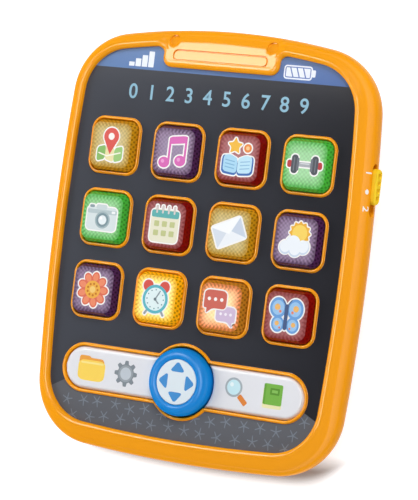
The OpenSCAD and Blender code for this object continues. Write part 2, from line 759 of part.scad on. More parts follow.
module battery_door() {
    color("orange") difference() {
        union() {
            box([hinge_x, door_x1], [box_yc - door_w / 2, box_yc + door_w / 2], [door_z, door_z + door_t]);
            rod([hinge_x, box_yc - door_w / 2, hinge_z], "y", hinge_r, door_w);
            rod([hinge_x, box_yc - door_w / 2 - pin_l, hinge_z], "y", pin_r, door_w + 2 * pin_l);
            translate([door_screw_x, box_yc, door_z]) cylinder(r = cup_r, h = cup_top - door_z);
        }
        translate([door_screw_x, box_yc, 0]) cylinder(r = head_r + counterbore_gap, h = seat_z);
        translate([door_screw_x, box_yc, 0]) cylinder(r = screw_r + pin_gap, h = cup_top + 1);
    }
}

module door_screw() {
    color("silver") translate([door_screw_x, box_yc, 0])
        screw(seat_z - seat_gap, door_screw_tip, screw_r, head_r, head_t);
}

module battery(i) {
    nub_r = cell_d * 0.26;
    nub_l = 1;
    color(i == 0 ? "seagreen" : "teal") translate([0, cell_y(i), 0]) mirror([i, 0, 0]) {
        rod([-cell_l / 2, 0, cell_z], "x", cell_d / 2, cell_l - nub_l);
        rod([cell_l / 2 - nub_l - eps, 0, cell_z], "x", nub_r, nub_l + eps);
    }
}

// A leaf contact: a plate on the end wall and a bowed leaf that presses on the cell
module leaf(side, i) {
    reach = contact_space - seat_gap;
    low = cell_z - contact_h / 2;
    translate([0, cell_y(i) + contact_w / 2, 0]) rotate([90, 0, 0]) linear_extrude(contact_w)
        mirror([side > 0 ? 0 : 1, 0]) polygon([
            [box_l / 2, low], [box_l / 2, low + contact_h], [box_l / 2 - contact_t, low + contact_h],
            [box_l / 2 - contact_t, low + contact_h / 4], [box_l / 2 - reach, cell_z + contact_t],
            [box_l / 2 - reach, cell_z - contact_t], [box_l / 2 - contact_t, low]
        ]);
}

module contact_plus() {
    color("silver") leaf(1, 0);
}

module contact_minus() {
    color("silver") leaf(1, 1);
}

module contact_bridge() {
    color("silver") {
        leaf(-1, 0);
        leaf(-1, 1);
        box([-box_l / 2, -box_l / 2 + contact_t], [cell_y(0), cell_y(1)],
            [cell_z - contact_h / 2, cell_z - contact_h / 4]);
    }
}

// Leads from the two end contacts, over the board's edge
module battery_wires() {
    lead_z = board_top + wire_r;
    drop_y = board_y1 + box_from_board / 3;
    color("red") for (i = [0, 1]) {
        bend_x = box_l / 2 + box_wall + wire_clear + i * 4 * wire_r;
        rise = roof_z - 2 * wire_r;
        rod([box_l / 2, cell_y(i), rise], "x", wire_r, bend_x - box_l / 2);
        translate([bend_x, cell_y(i), rise]) sphere(r = wire_r);
        rod([bend_x, drop_y, rise], "y", wire_r, cell_y(i) - drop_y);
        translate([bend_x, drop_y, rise]) sphere(r = wire_r);
        rod([bend_x, drop_y, min(lead_z, rise)], "z", wire_r, abs(rise - lead_z));
        translate([bend_x, drop_y, lead_z]) sphere(r = wire_r);
        rod([bend_x, wire_end_y, lead_z], "y", wire_r, drop_y - wire_end_y);
    }
}

module speaker_frame() {
    r = speaker_d / 2;
    neck = r * 0.55;
    color("dimgray") translate([0, speaker_y, floor_t]) rotate_extrude() polygon([
        [r - speaker_rim, basket_t], [r - speaker_rim, 0], [r, 0], [r, speaker_rim_t],
        [r - speaker_rim + basket_t / 2, speaker_rim_t], [neck + basket_t, speaker_t - magnet_t],
        [neck - 2, speaker_t - magnet_t], [neck - 2, speaker_t - magnet_t - basket_t],
        [neck, speaker_t - magnet_t - basket_t]
    ]);
}

module speaker_cone() {
    r = speaker_d / 2 - speaker_rim;
    neck = speaker_d * 0.16;
    paper_t = 0.4;
    low = 0.1;
    high = basket_t + 1.6;
    color("black") translate([0, speaker_y, floor_t]) rotate_extrude() polygon([
        [r, low], [r, low + paper_t], [neck, high], [0, high], [0, high - paper_t], [neck, high - paper_t]
    ]);
}

module speaker_magnet() {
    color("silver") translate([0, speaker_y, floor_t + speaker_t - magnet_t])
        cylinder(r = speaker_d * 0.27, h = magnet_t);
}

module speaker_wires() {
    color("black") for (s = [-1, 1])
        rod([s * (speaker_d / 2 - speaker_rim / 2), speaker_y, floor_t + speaker_rim_t], "z",
            lead_r, board_z - floor_t - speaker_rim_t);
}

module case_screws() {
    color("silver") at_points(case_screw_at) screw(case_seat_z, case_screw_tip, screw_r, head_r, head_t);
}

module board_screws() {
    color("silver") at_points(stands)
        screw(board_z, board_top + stand_screw_l, stand_screw_r, stand_head_r, stand_head_t);
}

front_case();
rear_case();
faceplate();
dock_panel();
for (i = [0 : buttons - 1]) {
    app_button(i);
    rubber_dome(button_at(i).x, button_at(i).y);
}
nav_button();
nav_inlay();
rubber_dome(0, dock_y);  // nav_dome
slider_knob();
switch_lever();
slide_switch();
rubber_keypad();
circuit_board();
controller_chip();
capacitors();
button_leds();
battery_door();
door_screw();
battery(0);  // battery_1
battery(1);  // battery_2
contact_bridge();
contact_plus();
contact_minus();
battery_wires();
speaker_frame();
speaker_cone();
speaker_magnet();
speaker_wires();
case_screws();
board_screws();
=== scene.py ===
"""Looks of a toy tablet on its back: X across the screen, Y toward its top edge, Z out of the screen.

Shapes are worked out in millimetres, as loops and grids of points, and written in metres.
"""
import math

import bmesh
import bpy
import numpy as np
from mathutils import Matrix, Vector
from mathutils.geometry import delaunay_2d_cdt


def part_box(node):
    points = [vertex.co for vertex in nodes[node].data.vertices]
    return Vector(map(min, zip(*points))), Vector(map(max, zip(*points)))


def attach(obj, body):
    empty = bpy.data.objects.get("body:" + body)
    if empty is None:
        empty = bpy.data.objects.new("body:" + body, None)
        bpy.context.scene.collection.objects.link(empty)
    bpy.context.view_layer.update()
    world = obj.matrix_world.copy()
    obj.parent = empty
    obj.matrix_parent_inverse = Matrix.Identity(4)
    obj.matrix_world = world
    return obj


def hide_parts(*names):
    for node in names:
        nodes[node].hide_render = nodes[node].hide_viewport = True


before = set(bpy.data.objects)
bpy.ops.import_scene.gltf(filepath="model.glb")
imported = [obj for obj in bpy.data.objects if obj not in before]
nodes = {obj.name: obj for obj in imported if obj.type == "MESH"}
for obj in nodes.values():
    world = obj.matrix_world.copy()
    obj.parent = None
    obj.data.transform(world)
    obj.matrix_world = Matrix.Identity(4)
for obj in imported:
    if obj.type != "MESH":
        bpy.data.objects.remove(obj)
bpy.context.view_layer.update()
MM = 0.001
SIDES = (-1, 1)


def corners(node):
    """Lowest and highest corner of a CAD node, in millimetres."""
    low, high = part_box(node)
    return np.array(low) / MM, np.array(high) / MM


def middle(node):
    """Centre of a CAD node's box, in millimetres."""
    low, high = corners(node)
    return (low + high) / 2


# Body sizes
half_w = 75.2
half_h = 92.5
side_bow_r = 960.0
top_bow_r = 310.0
bottom_bow_r = 640.0
top_corner_r = 28.0
bottom_corner_r = 28.0
parting_z = 9.5
parting_lip = 0.25
bowl_inset = 13.0
bowl_h = 16.0
floor_t = 2.0
wall = 2.2

# Rim: an elliptic shoulder outside and a bead around the screen, wider along the bottom edge
crest_z = corners("front_case")[1][2]
face_z = corners("faceplate")[1][2]
recess_in = 7.2
bottom_rim = 2.6
bead_foot = 3.3
bead_w = 1.7
bead_h = 1.5
bead_sink = 0.4
shoulder_w = 5.2
shoulder_z = 16.5
shoulder_top = crest_z - 0.5

# Tab in the top edge: a lower shoulder and a sloping face, with an outlined bar and two dimples
tab_half = 28.2
tab_y = 75.1
tab_r = 4.4
notch_r = 3.2
tab_slope = 0.158
tab_face_in = 6.8
tab_shoulder_w = 8.0
tab_shoulder_h = 6.74
tab_step = 2.6
tab_ease = 4.6
bar_l = 45.4
bar_h = 4.35
bar_r = 1.9
bar_y = 80.4
groove_w = 0.8
groove_d = 0.7
dimple_r = 2.7
dimple_d = 0.9
dimple_at = (23.8, 86.6)

# Buttons and dock
button_count = 12
cap_w = 21.9
cap_r = 4.2
cap_top = corners("app_button_1")[1][2]
cap_taper = 1.2
cap_edge = 0.55
opening_w = 22.5
opening_r = 4.5
collar_w = 1.15
collar_z = face_z + 0.95
collar_round = 0.6
collar_fillet = 0.2
cap_foot = collar_z - 0.3
deep_z = 18.5
dock_y = middle("nav_button")[1]
dock_l = 117.2
dock_h = 18.4
dock_gap = 0.2
dock_fillet = 2.0
dock_face = collar_z - 0.35
pillow_h, pillow_w = 1.4, 1.6
crown_h, crown_w = 0.3, 4.0
nav_r = 14.4
nav_hole_r = 14.9
nav_top = corners("nav_button")[1][2]
ring_roll = 3.2
ring_bevel = 1.2
inlay_r = 9.6
inlay_z = corners("nav_inlay")[1][2]
inlay_sink = 0.9
inlay_round = 0.3

# Side switch: slot, knob, grip pockets and slide plate
slot_y = 31.9
slot_z = 14.4
slot_l = 21.9
slot_h = 5.2
slot_round = 0.3
knob_y = 33.5
knob_l = 14.9
knob_h = 4.8
knob_x = corners("slider_knob")[1][0]
knob_round = 0.7
grip_step = 3.1
grip_half = 1.0
grip_ease = 0.45
grip_d = 1.1
grip_margin = 0.75
grip_fade = 0.5
plate_x = knob_x - 5.6
plate_t = 1.6
plate_l = slot_l + 7.6
plate_h = slot_h + 1.6

# Back: battery door with its screw and finger ribs, cell box, case screws and grille
back_in = 7.0
back_lip = 0.3
hinge_x = -29.6
door_tip = 35.6
door_end = corners("battery_door")[1][0]
door_y = middle("battery_door")[1]
door_w = 26.6
door_z = (0.25, 1.95)
door_round = 0.35
knuckle_r = (door_z[1] - door_z[0]) / 2
pin_r = 0.6
pin_l = 1.6
opening_gap = 0.5
opening_shift = 0.42
box_l = corners("battery_1")[1][0] * 2 + 6
box_w = 22.2
box_z = 13.1
screw_at = middle("door_screw")[:2]
head_r = 3.1
head_z = 2.5
shank_r = 1.55
cup_r = 4.0
cup_z = 4.55
cup_chamfer = 0.2
finger_w, finger_l, finger_h = 0.7, 9.0, 0.2
finger_x, finger_pitch = 16, 1.8
seat_r = 4.6
seat_z = 5.15
bore_r = 2.2
bore_z = 9.15
case_screw_at = [(s * x, y) for s in SIDES for x, y in ((49.9, 66.0), (63.7, -8.05), (49.9, -77.0))]
case_bore_z = 3.0
speaker_at = middle("speaker_cone")[:2]
grille_r = 1.1
grille_step = 3.6

# Arcs, loops and surfaces


def arc(centre, radius, start, end, steps):
    """Points on an arc from the start angle to the end angle, in degrees."""
    a = np.radians(np.linspace(start, end, steps + 1))
    return np.asarray(centre) + radius * np.c_[np.cos(a), np.sin(a)]


def even(loop, count):
    """A closed loop sampled again at equal steps along its length."""
    ring = np.vstack([loop, loop[:1]])
    length = np.r_[0, np.cumsum(np.linalg.norm(np.diff(ring, axis=0), axis=1))]
    at = np.linspace(0, length[-1], count, endpoint=False)
    return np.c_[np.interp(at, length, ring[:, 0]), np.interp(at, length, ring[:, 1])]


def rounded(width, height, radius, centre=(0, 0), count=96):
    """A rectangle with round corners: four quarter arcs, sampled evenly from the middle of the right side."""
    x, y = width / 2 - radius, height / 2 - radius
    turns = enumerate(((x, y), (-x, y), (-x, -y), (x, -y)))
    quarters = [arc(c, radius, 90 * k, 90 * k + 90, 16) for k, c in turns]
    return even(np.vstack([[(width / 2, 0)], *quarters]), count) + np.asarray(centre)


def circle(radius, centre=(0, 0), count=48):
    """A full circle, counter-clockwise."""
    return arc(centre, radius, 0, 360, count)[:-1]


def outward(loop):
    """Unit normals of a counter-clockwise loop, square to the chord between each point's neighbours."""
    t = np.roll(loop, -1, axis=0) - np.roll(loop, 1, axis=0)
    n = np.c_[t[:, 1], -t[:, 0]]
    return n / np.linalg.norm(n, axis=1, keepdims=True)


def spun(loop, angle):
    """A loop turned about the origin by an angle in degrees."""
    c, s = math.cos(math.radians(angle)), math.sin(math.radians(angle))
    return np.asarray(loop) @ np.array([[c, s], [-s, c]])


def at_height(flat, z):
    """Flat points at a height, which is a number or one value per point."""
    return np.c_[flat, np.broadcast_to(z, len(flat))]


def grid_part(points, closed=True):
    """A grid of points as (points, quads); a closed grid joins its last row to its first."""
    n, m = points.shape[:2]
    i, j = np.meshgrid(np.arange(n if closed else n - 1), np.arange(m - 1), indexing="ij")
    k = (i + 1) % n
    quads = np.stack([i * m + j, k * m + j, k * m + j + 1, i * m + j + 1], -1).reshape(-1, 4)
    return points.reshape(-1, 3), quads.tolist()


def tube(rings, closed=True):
    """Rings of equally many points, each joined to the next."""
    return grid_part(np.stack(rings, 1), closed)


def carry(loop, profile, normals=None):
    """A profile of (outward offset, height) carried along a loop: loop stations by profile points."""
    normals = outward(loop) if normals is None else normals
    offset, height = np.asarray(profile, float).T
    xy = loop[:, None, :] + normals[:, None, :] * offset[None, :, None]
    return grid_part(np.dstack([xy, np.broadcast_to(height, xy.shape[:2])]))


def turned(profile, centre=(0, 0), count=96):
    """A profile of (radius, height) turned about an upright axis."""
    return carry(np.tile(centre, (count, 1)), profile, circle(1, (0, 0), count))


def inside(points, loop):
    """Whether each point lies inside a loop: a ray along X crosses the loop an odd number of times."""
    a, b = loop, np.roll(loop, -1, axis=0)
    px, py = points[:, :1], points[:, 1:]
    spans = (a[:, 1] > py) != (b[:, 1] > py)
    run = np.where(b[:, 1] == a[:, 1], 1, b[:, 1] - a[:, 1])
    crosses = spans & (px < (b[:, 0] - a[:, 0]) * (py - a[:, 1]) / run + a[:, 0])
    return crosses.sum(1) % 2 == 1


def between(points, outer, holes):
    """Whether each point lies inside a loop and outside all of its holes."""
    kept = inside(points, outer)
    for hole in holes:
        kept &= ~inside(points, hole)
    return kept


def nearest(points, loop):
    """Distance from each point to the closest point of a dense loop."""
    best = [np.linalg.norm(part[:, None] - loop[None], axis=2).min(1) for part in np.array_split(points, 16)]
    return np.concatenate(best)


def patch(outer, holes=(), spacing=None):
    """Triangles that fill a loop around its holes, over a grid of inner points: (points, triangles)."""
    loops = [outer, *holes]
    points = np.vstack(loops)
    if spacing:
        low, high = outer.min(0) + spacing / 2, outer.max(0)
        gx, gy = np.meshgrid(np.arange(low[0], high[0], spacing), np.arange(low[1], high[1], spacing))
        inner = np.c_[gx.ravel(), gy.ravel()]
        clear = nearest(inner, points) > 0.6 * spacing
        points = np.vstack([points, inner[clear & between(inner, outer, holes)]])
    edges = []
    first = 0
    for loop in loops:
        index = first + np.arange(len(loop))
        edges += np.c_[index, np.roll(index, -1)].tolist()
        first += len(loop)
    made = delaunay_2d_cdt([Vector(p) for p in points.tolist()], edges, [], 0, 1e-7)
    flat = np.array([tuple(v) for v in made[0]])
    triangles = np.array([list(f) for f in made[2]])
    triangles = triangles[between(flat[triangles].mean(1), outer, holes)]
    a, b, c = (flat[triangles[:, k]] for k in range(3))
    turn = (b[:, 0] - a[:, 0]) * (c[:, 1] - a[:, 1]) - (b[:, 1] - a[:, 1]) * (c[:, 0] - a[:, 0])
    triangles[turn < 0] = triangles[turn < 0][:, ::-1]
    return flat, triangles


def raised(flat, triangles, height):
    """A flat patch lifted to a height, which is a number or one value per point."""
    return at_height(flat, height), triangles.tolist()


def turned_over(part):
    """The same surface with its faces pointing the other way."""
    return part[0], [face[::-1] for face in part[1]]


def shifted(part, offset):
    """A surface moved by an offset."""
    return part[0] + np.asarray(offset), part[1]


def fill(outer, z, holes=(), down=False):
    """A flat face at one height that fills a loop around its holes, facing up or down."""
    part = raised(*patch(outer, holes), z)
    return turned_over(part) if down else part


def piece(name, parts, finish, body, stands_for=(), sharp=32, values=None):
    """One object made of several surfaces, welded where they meet, that rides on a CAD body."""
    points = np.concatenate([p for p, _ in parts]) * MM
    faces = []
    first = 0
    for p, f in parts:
        faces += [[first + k for k in face] for face in f]
        first += len(p)
    mesh = bpy.data.meshes.new(name)
    mesh.from_pydata(points.tolist(), [], faces)
    for key, (kind, data) in (values or {}).items():
        layer = mesh.attributes.new(key, kind, "POINT")
        field = "color" if kind == "FLOAT_COLOR" else "value"
        layer.data.foreach_set(field, np.asarray(data, np.float32).ravel())
    work = bmesh.new()
    work.from_mesh(mesh)
    bmesh.ops.remove_doubles(work, verts=work.verts, dist=0.002 * MM)
    work.to_mesh(mesh)
    work.free()
    mesh.shade_smooth()
    mesh.set_sharp_from_angle(angle=math.radians(sharp))
    mesh.materials.append(finish)
    made = bpy.data.objects.new(name, mesh)
    bpy.context.scene.collection.objects.link(made)
    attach(made, body)
    if stands_for:
        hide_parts(*stands_for)


# Outline of the body: eight tangent arcs, which keep their centres at every inset


def meet(c0, r0, c1, r1, side):
    """Point at two distances from two centres, on the left (1) or right (-1) of the line between them."""
    d = np.linalg.norm(c1 - c0)
    u = (c1 - c0) / d
    a = (r0 * r0 - r1 * r1 + d * d) / (2 * d)
    return c0 + a * u + side * math.sqrt(r0 * r0 - a * a) * np.array([-u[1], u[0]])


def bearing(start, end):
    """Angle of the line from one point to another, in degrees."""
    return math.degrees(math.atan2(end[1] - start[1], end[0] - start[0]))


mirror = np.array([-1, 1])
side_c = np.array([half_w - side_bow_r, 0])
top_c = np.array([0, half_h - top_bow_r])
bottom_c = np.array([0, bottom_bow_r - half_h])
top_corner_c = meet(side_c, side_bow_r - top_corner_r, top_c, top_bow_r - top_corner_r, 1)
right_a1 = bearing(side_c, top_corner_c)
top_a = bearing(top_c, top_corner_c)

# The notch's upper fillet touches the top arc at this angle
notch_c = np.array([tab_half + notch_r, 0])
notch_c[1] = top_c[1] + math.sqrt((top_bow_r - recess_in - notch_r) ** 2 - notch_c[0] ** 2)
notch_a = bearing(top_c, notch_c)


def body_arcs(lift):
    """Arcs from the tab's left end round the bottom to its right end, then the stretch above the tab.

    Each is its centre, radius, first angle, last angle and steps; the lift raises the bottom edge.
    """
    low_c = bottom_c + np.array([0, lift])
    low_corner_c = meet(side_c, side_bow_r - bottom_corner_r, low_c, bottom_bow_r - bottom_corner_r, -1)
    right_a0 = bearing(side_c, low_corner_c)
    bottom_a = bearing(low_c, low_corner_c)
    return [
        (top_c, top_bow_r, 180 - notch_a, 180 - top_a, 12),
        (top_corner_c * mirror, top_corner_r, 180 - top_a, 180 - right_a1, 30),
        (side_c * mirror, side_bow_r, 180 - right_a1, 180 - right_a0, 60),
        (low_corner_c * mirror, bottom_corner_r, 180 - right_a0, 180 - bottom_a, 30),
        (low_c, bottom_bow_r, 180 - bottom_a, 360 + bottom_a, 40),
        (low_corner_c, bottom_corner_r, 360 + bottom_a, 360 + right_a0, 30),
        (side_c, side_bow_r, right_a0, right_a1, 60),
        (top_corner_c, top_corner_r, right_a1, top_a, 30),
        (top_c, top_bow_r, top_a, notch_a, 12),
        (top_c, top_bow_r, notch_a, 180 - notch_a, 40),
    ]


def stations(arcs):
    """Centre, radius and unit normal at each station of a list of arcs, without repeated ends."""
    centre, radius, angle = [], [], []
    for c, r, a0, a1, steps in arcs:
        centre.append(np.tile(c, (steps, 1)))
        radius.append(np.full(steps, r))
        angle.append(np.linspace(a0, a1, steps, endpoint=False))
    a = np.radians(np.concatenate(angle))
    return np.concatenate(centre), np.concatenate(radius), np.c_[np.cos(a), np.sin(a)]


around = stations(body_arcs(0))
within = stations(body_arcs(bottom_rim))
below_tab = sum(a[4] for a in body_arcs(0)[:-1]) + 1


def outline(inset, ring=around):
    """The body's outline at an inset, starting at the tab's left end and going counter-clockwise."""
    centre, radius, normal = ring
    return centre + (radius - inset)[:, None] * normal


def recess():
    """Edge of the screen and its outward normals: the lifted outline, with the tab let into its top."""
    points = [outline(recess_in, within)[:below_tab]]
    normals = [within[2][:below_tab]]
    wall_c = np.array([tab_half - tab_r, tab_y + tab_r])
    turns = [
        (notch_c, notch_r, notch_a, 180, 1),
        (wall_c, tab_r, 0, -90, -1),
        (wall_c * mirror, tab_r, -90, -180, -1),
        (notch_c * mirror, notch_r, 0, 180 - notch_a, 1),
    ]
    for c, r, a0, a1, side in turns:
        points.append(arc(c, r, a0, a1, 14))
        normals.append(side * arc((0, 0), 1, a0, a1, 14))
    points[1], normals[1] = points[1][1:], normals[1][1:]
    points[-1], normals[-1] = points[-1][:-1], normals[-1][:-1]
    return np.concatenate(points), np.concatenate(normals)


screen_edge, screen_out = recess()


def eased(share):
    """A share from 0 to 1 that starts and ends gently."""
    s = np.clip(share, 0, 1)
    return s * s * (3 - 2 * s)


def quarter(share):
    """Height of a quarter ellipse over a share of its width: upright at 0 and level at 1."""
    return np.sqrt(1 - (1 - np.clip(share, 0, 1)) ** 2)


def side_inset(z):
    """Inset of the body's side at a height: an elliptic bowl below, an elliptic shoulder above."""
    rise = np.clip((z - shoulder_z) / (shoulder_top - shoulder_z), 0, 1)
    return bowl_inset * (1 - quarter(z / bowl_h)) + shoulder_w * (1 - np.sqrt(1 - rise**2))


def tab_share(xy):
    """1 on the tab, 0 beside it, with a gentle step at its ends."""
    return eased((tab_half + tab_step - np.abs(xy[:, 0])) / tab_ease) * (xy[:, 1] > 0)


def rim_height(inset, xy=None):
    """Height of the rim at an inset: an ellipse that ends level.

    At the tab it turns into a lower ellipse that runs out into a sloping plane.
    """
    plain = shoulder_z + (shoulder_top - shoulder_z) * quarter(inset / shoulder_w)
    if xy is None:
        return plain
    low = shoulder_z + tab_shoulder_h * quarter(np.clip(inset, 0, tab_face_in) / tab_shoulder_w)
    low = low + tab_slope * np.maximum(inset - tab_face_in, 0)
    return plain + tab_share(xy) * (low - plain)


def top_height(xy):
    """Height of the rim and of the tab at places near the top edge."""
    return rim_height(top_bow_r - np.linalg.norm(xy - top_c, axis=1), xy)


def side_x(y, inset):
    """X of the right side's bowed outline at a place along it."""
    return side_c[0] + np.sqrt((side_bow_r - inset) ** 2 - y**2)


def on_side(yz, depth=0.0):
    """Places along Y and Z on the right side of the body, or at a depth under it."""
    return np.c_[side_x(yz[:, 0], side_inset(yz[:, 1])) - depth, yz]


def bowl_row(t):
    """Inset and height of the elliptic bowl at an angle from straight down."""
    return bowl_inset * (1 - np.sin(t)), bowl_h * (1 - np.cos(t))


# Colours, nodes and finishes

# Places of a Mix node's two colours and of its mixed colour
MIX_A, MIX_B, MIXED = 6, 7, 2


def linear(hex_colour):
    """Linear RGBA of an sRGB hex value."""
    v = np.array([int(hex_colour[k:k + 2], 16) for k in (1, 3, 5)]) / 255
    lin = np.where(v <= 0.04045, v / 12.92, ((v + 0.055) / 1.055) ** 2.4)
    return (*lin.tolist(), 1.0)


def per_mm(size):
    """Texture scale that gives a pattern of this size in millimetres."""
    return 1 / (size * MM)


def add(tree, kind, inputs=None, out=0, **settings):
    """Adds a shader node and gives one of its outputs; an input is a value or another node's output."""
    node = tree.nodes.new("ShaderNode" + kind)
    for key, value in settings.items():
        setattr(node, key, value)
    for key, value in (inputs or {}).items():
        if isinstance(value, bpy.types.NodeSocket):
            tree.links.new(value, node.inputs[key])
        else:
            node.inputs[key].default_value = value
    return node.outputs[out] if node.outputs else None


def start_material(name):
    """An empty material, its node tree and its Object coordinates."""
    made = bpy.data.materials.new(name)
    made.use_nodes = True
    made.node_tree.nodes.clear()
    return made, made.node_tree, add(made.node_tree, "TexCoord", out="Object")


def end_material(tree, inputs):
    """Closes a material with one Principled surface."""
    add(tree, "OutputMaterial", {"Surface": add(tree, "BsdfPrincipled", inputs)})


def moulded_abs(name, hex_colour, shade_hex, rough, shine, gleam="#FFFFFF"):
    """Injection-moulded ABS: even colour with a faint drift, a clear gloss and a slight orange-peel skin.

    The gloss weakens toward the edges, so that the sides keep their own colour beside a white floor.
    """
    made, tree, where = start_material(name)
    cloud = add(tree, "TexNoise", {"Vector": where, "Scale": per_mm(35), "Detail": 2.0})
    scuff = add(tree, "TexNoise", {"Vector": where, "Scale": per_mm(12), "Detail": 3.0})
    peel = add(tree, "TexNoise", {"Vector": where, "Scale": per_mm(1.6), "Detail": 3.0})
    tilt = add(tree, "LayerWeight", {"Blend": 0.5}, "Facing")
    tones = {0: cloud, MIX_A: linear(hex_colour), MIX_B: linear(shade_hex)}
    gloss = {"Value": scuff, "To Min": rough - 0.05, "To Max": rough + 0.05}
    fade = {"Value": tilt, "From Min": 0.16, "From Max": 0.42, "To Min": shine, "To Max": 0.01}
    end_material(tree, {
        "Base Color": add(tree, "Mix", tones, MIXED, data_type="RGBA"),
        "Roughness": add(tree, "MapRange", gloss),
        "IOR": 1.54,
        "Specular IOR Level": add(tree, "MapRange", fade),
        "Specular Tint": linear(gleam),
        "Normal": add(tree, "Bump", {"Height": peel, "Distance": 0.004 * MM}),
    })
    return made


def plain_metal(name, hex_colour, rough, size):
    """Plated or drawn metal: bright, with fine scuffs in its gloss."""
    made, tree, where = start_material(name)
    scuff = add(tree, "TexNoise", {"Vector": where, "Scale": per_mm(size), "Detail": 3.0})
    gloss = {"Value": scuff, "To Min": rough - 0.12, "To Max": rough + 0.12}
    end_material(tree, {
        "Base Color": linear(hex_colour),
        "Metallic": 1.0,
        "Roughness": add(tree, "MapRange", gloss),
        "Normal": add(tree, "Bump", {"Height": scuff, "Distance": 0.002 * MM}),
    })
    return made


def dull_solid(name, hex_colour, shade_hex, rough, ior, size):
    """A matt solid such as rubber, paper or epoxy: two close tones and a fine tooth."""
    made, tree, where = start_material(name)
    cloud = add(tree, "TexNoise", {"Vector": where, "Scale": per_mm(6 * size), "Detail": 2.0})
    tooth = add(tree, "TexNoise", {"Vector": where, "Scale": per_mm(size), "Detail": 3.0})
    tones = {0: cloud, MIX_A: linear(hex_colour), MIX_B: linear(shade_hex)}
    end_material(tree, {
        "Base Color": add(tree, "Mix", tones, MIXED, data_type="RGBA"),
        "Roughness": rough,
        "IOR": ior,
        "Normal": add(tree, "Bump", {"Height": tooth, "Distance": 0.01 * MM}),
    })
    return made


def ink_finish():
    """Screen-printed ink: its colour is in the piece, with a satin surface and a faint tooth."""
    made, tree, where = start_material("screen_print_ink")
    tooth = add(tree, "TexNoise", {"Vector": where, "Scale": per_mm(0.5), "Detail": 2.0})
    end_material(tree, {
        "Base Color": add(tree, "Attribute", out="Color", attribute_name="ink"),
        "Roughness": add(tree, "MapRange", {"Value": tooth, "To Min": 0.2, "To Max": 0.3}),
        "IOR": 1.5,
        "Specular IOR Level": 0.3,
        "Normal": add(tree, "Bump", {"Height": tooth, "Distance": 0.001 * MM}),
    })
    return made


# Printed film: where its band starts, its hill's circle and half the width of a soft print edge
band_y = 73.1
hill_at = (2.0, -181.6)
hill_r = 132.0
print_edge = 0.04


def film_finish():
    """Printed polyester film: a dark ground and a blue band along the top, both with a painted sheen, and a
    grey hill along the bottom.
    """
    made, tree, where = start_material("printed_polyester_film")
    place = add(tree, "SeparateXYZ", {"Vector": where}).node.outputs
    edge = {"From Min": (band_y - print_edge) * MM, "From Max": (band_y + print_edge) * MM}
    band = add(tree, "MapRange", {"Value": place["Y"], **edge})
    # Painted sheen: the dark ground and the blue band run from a lighter tone on the left to a darker one on
    # the right.
    sides = {"From Min": -half_w * MM, "From Max": half_w * MM}
    across = add(tree, "MapRange", {"Value": place["X"], **sides})
    dark = {0: across, MIX_A: linear("#4A4D55"), MIX_B: linear("#26262B")}
    band_sheen_tones = {0: across, MIX_A: linear("#6686B6"), MIX_B: linear("#4A68A4")}
    centre = (hill_at[0] * MM, hill_at[1] * MM, 0.0)
    away = add(tree, "VectorMath", {0: where, 1: centre}, operation="SUBTRACT")
    flat = add(tree, "VectorMath", {0: away, 1: (1.0, 1.0, 0.0)}, operation="MULTIPLY")
    length = add(tree, "VectorMath", {0: flat}, "Value", operation="LENGTH")
    rim = {"From Min": (hill_r + print_edge) * MM, "From Max": (hill_r - print_edge) * MM}
    hill = add(tree, "MapRange", {"Value": length, **rim})
    ground = add(tree, "Mix", dark, MIXED, data_type="RGBA")
    lower = add(tree, "Mix", {0: hill, MIX_A: ground, MIX_B: linear("#64666C")}, MIXED, data_type="RGBA")
    upper = add(tree, "Mix", band_sheen_tones, MIXED, data_type="RGBA")
    tooth = add(tree, "TexNoise", {"Vector": where, "Scale": per_mm(0.9), "Detail": 3.0})
    end_material(tree, {
        "Base Color": add(tree, "Mix", {0: band, MIX_A: lower, MIX_B: upper}, MIXED, data_type="RGBA"),
        "Roughness": add(tree, "MapRange", {"Value": tooth, "To Min": 0.09, "To Max": 0.14}),
        "IOR": 1.5,
        "Specular IOR Level": 0.15,
        "Normal": add(tree, "Bump", {"Height": tooth, "Distance": 0.0008 * MM}),
    })
    return made


weave_pitch = 1.9
dot_pitch = 2.4


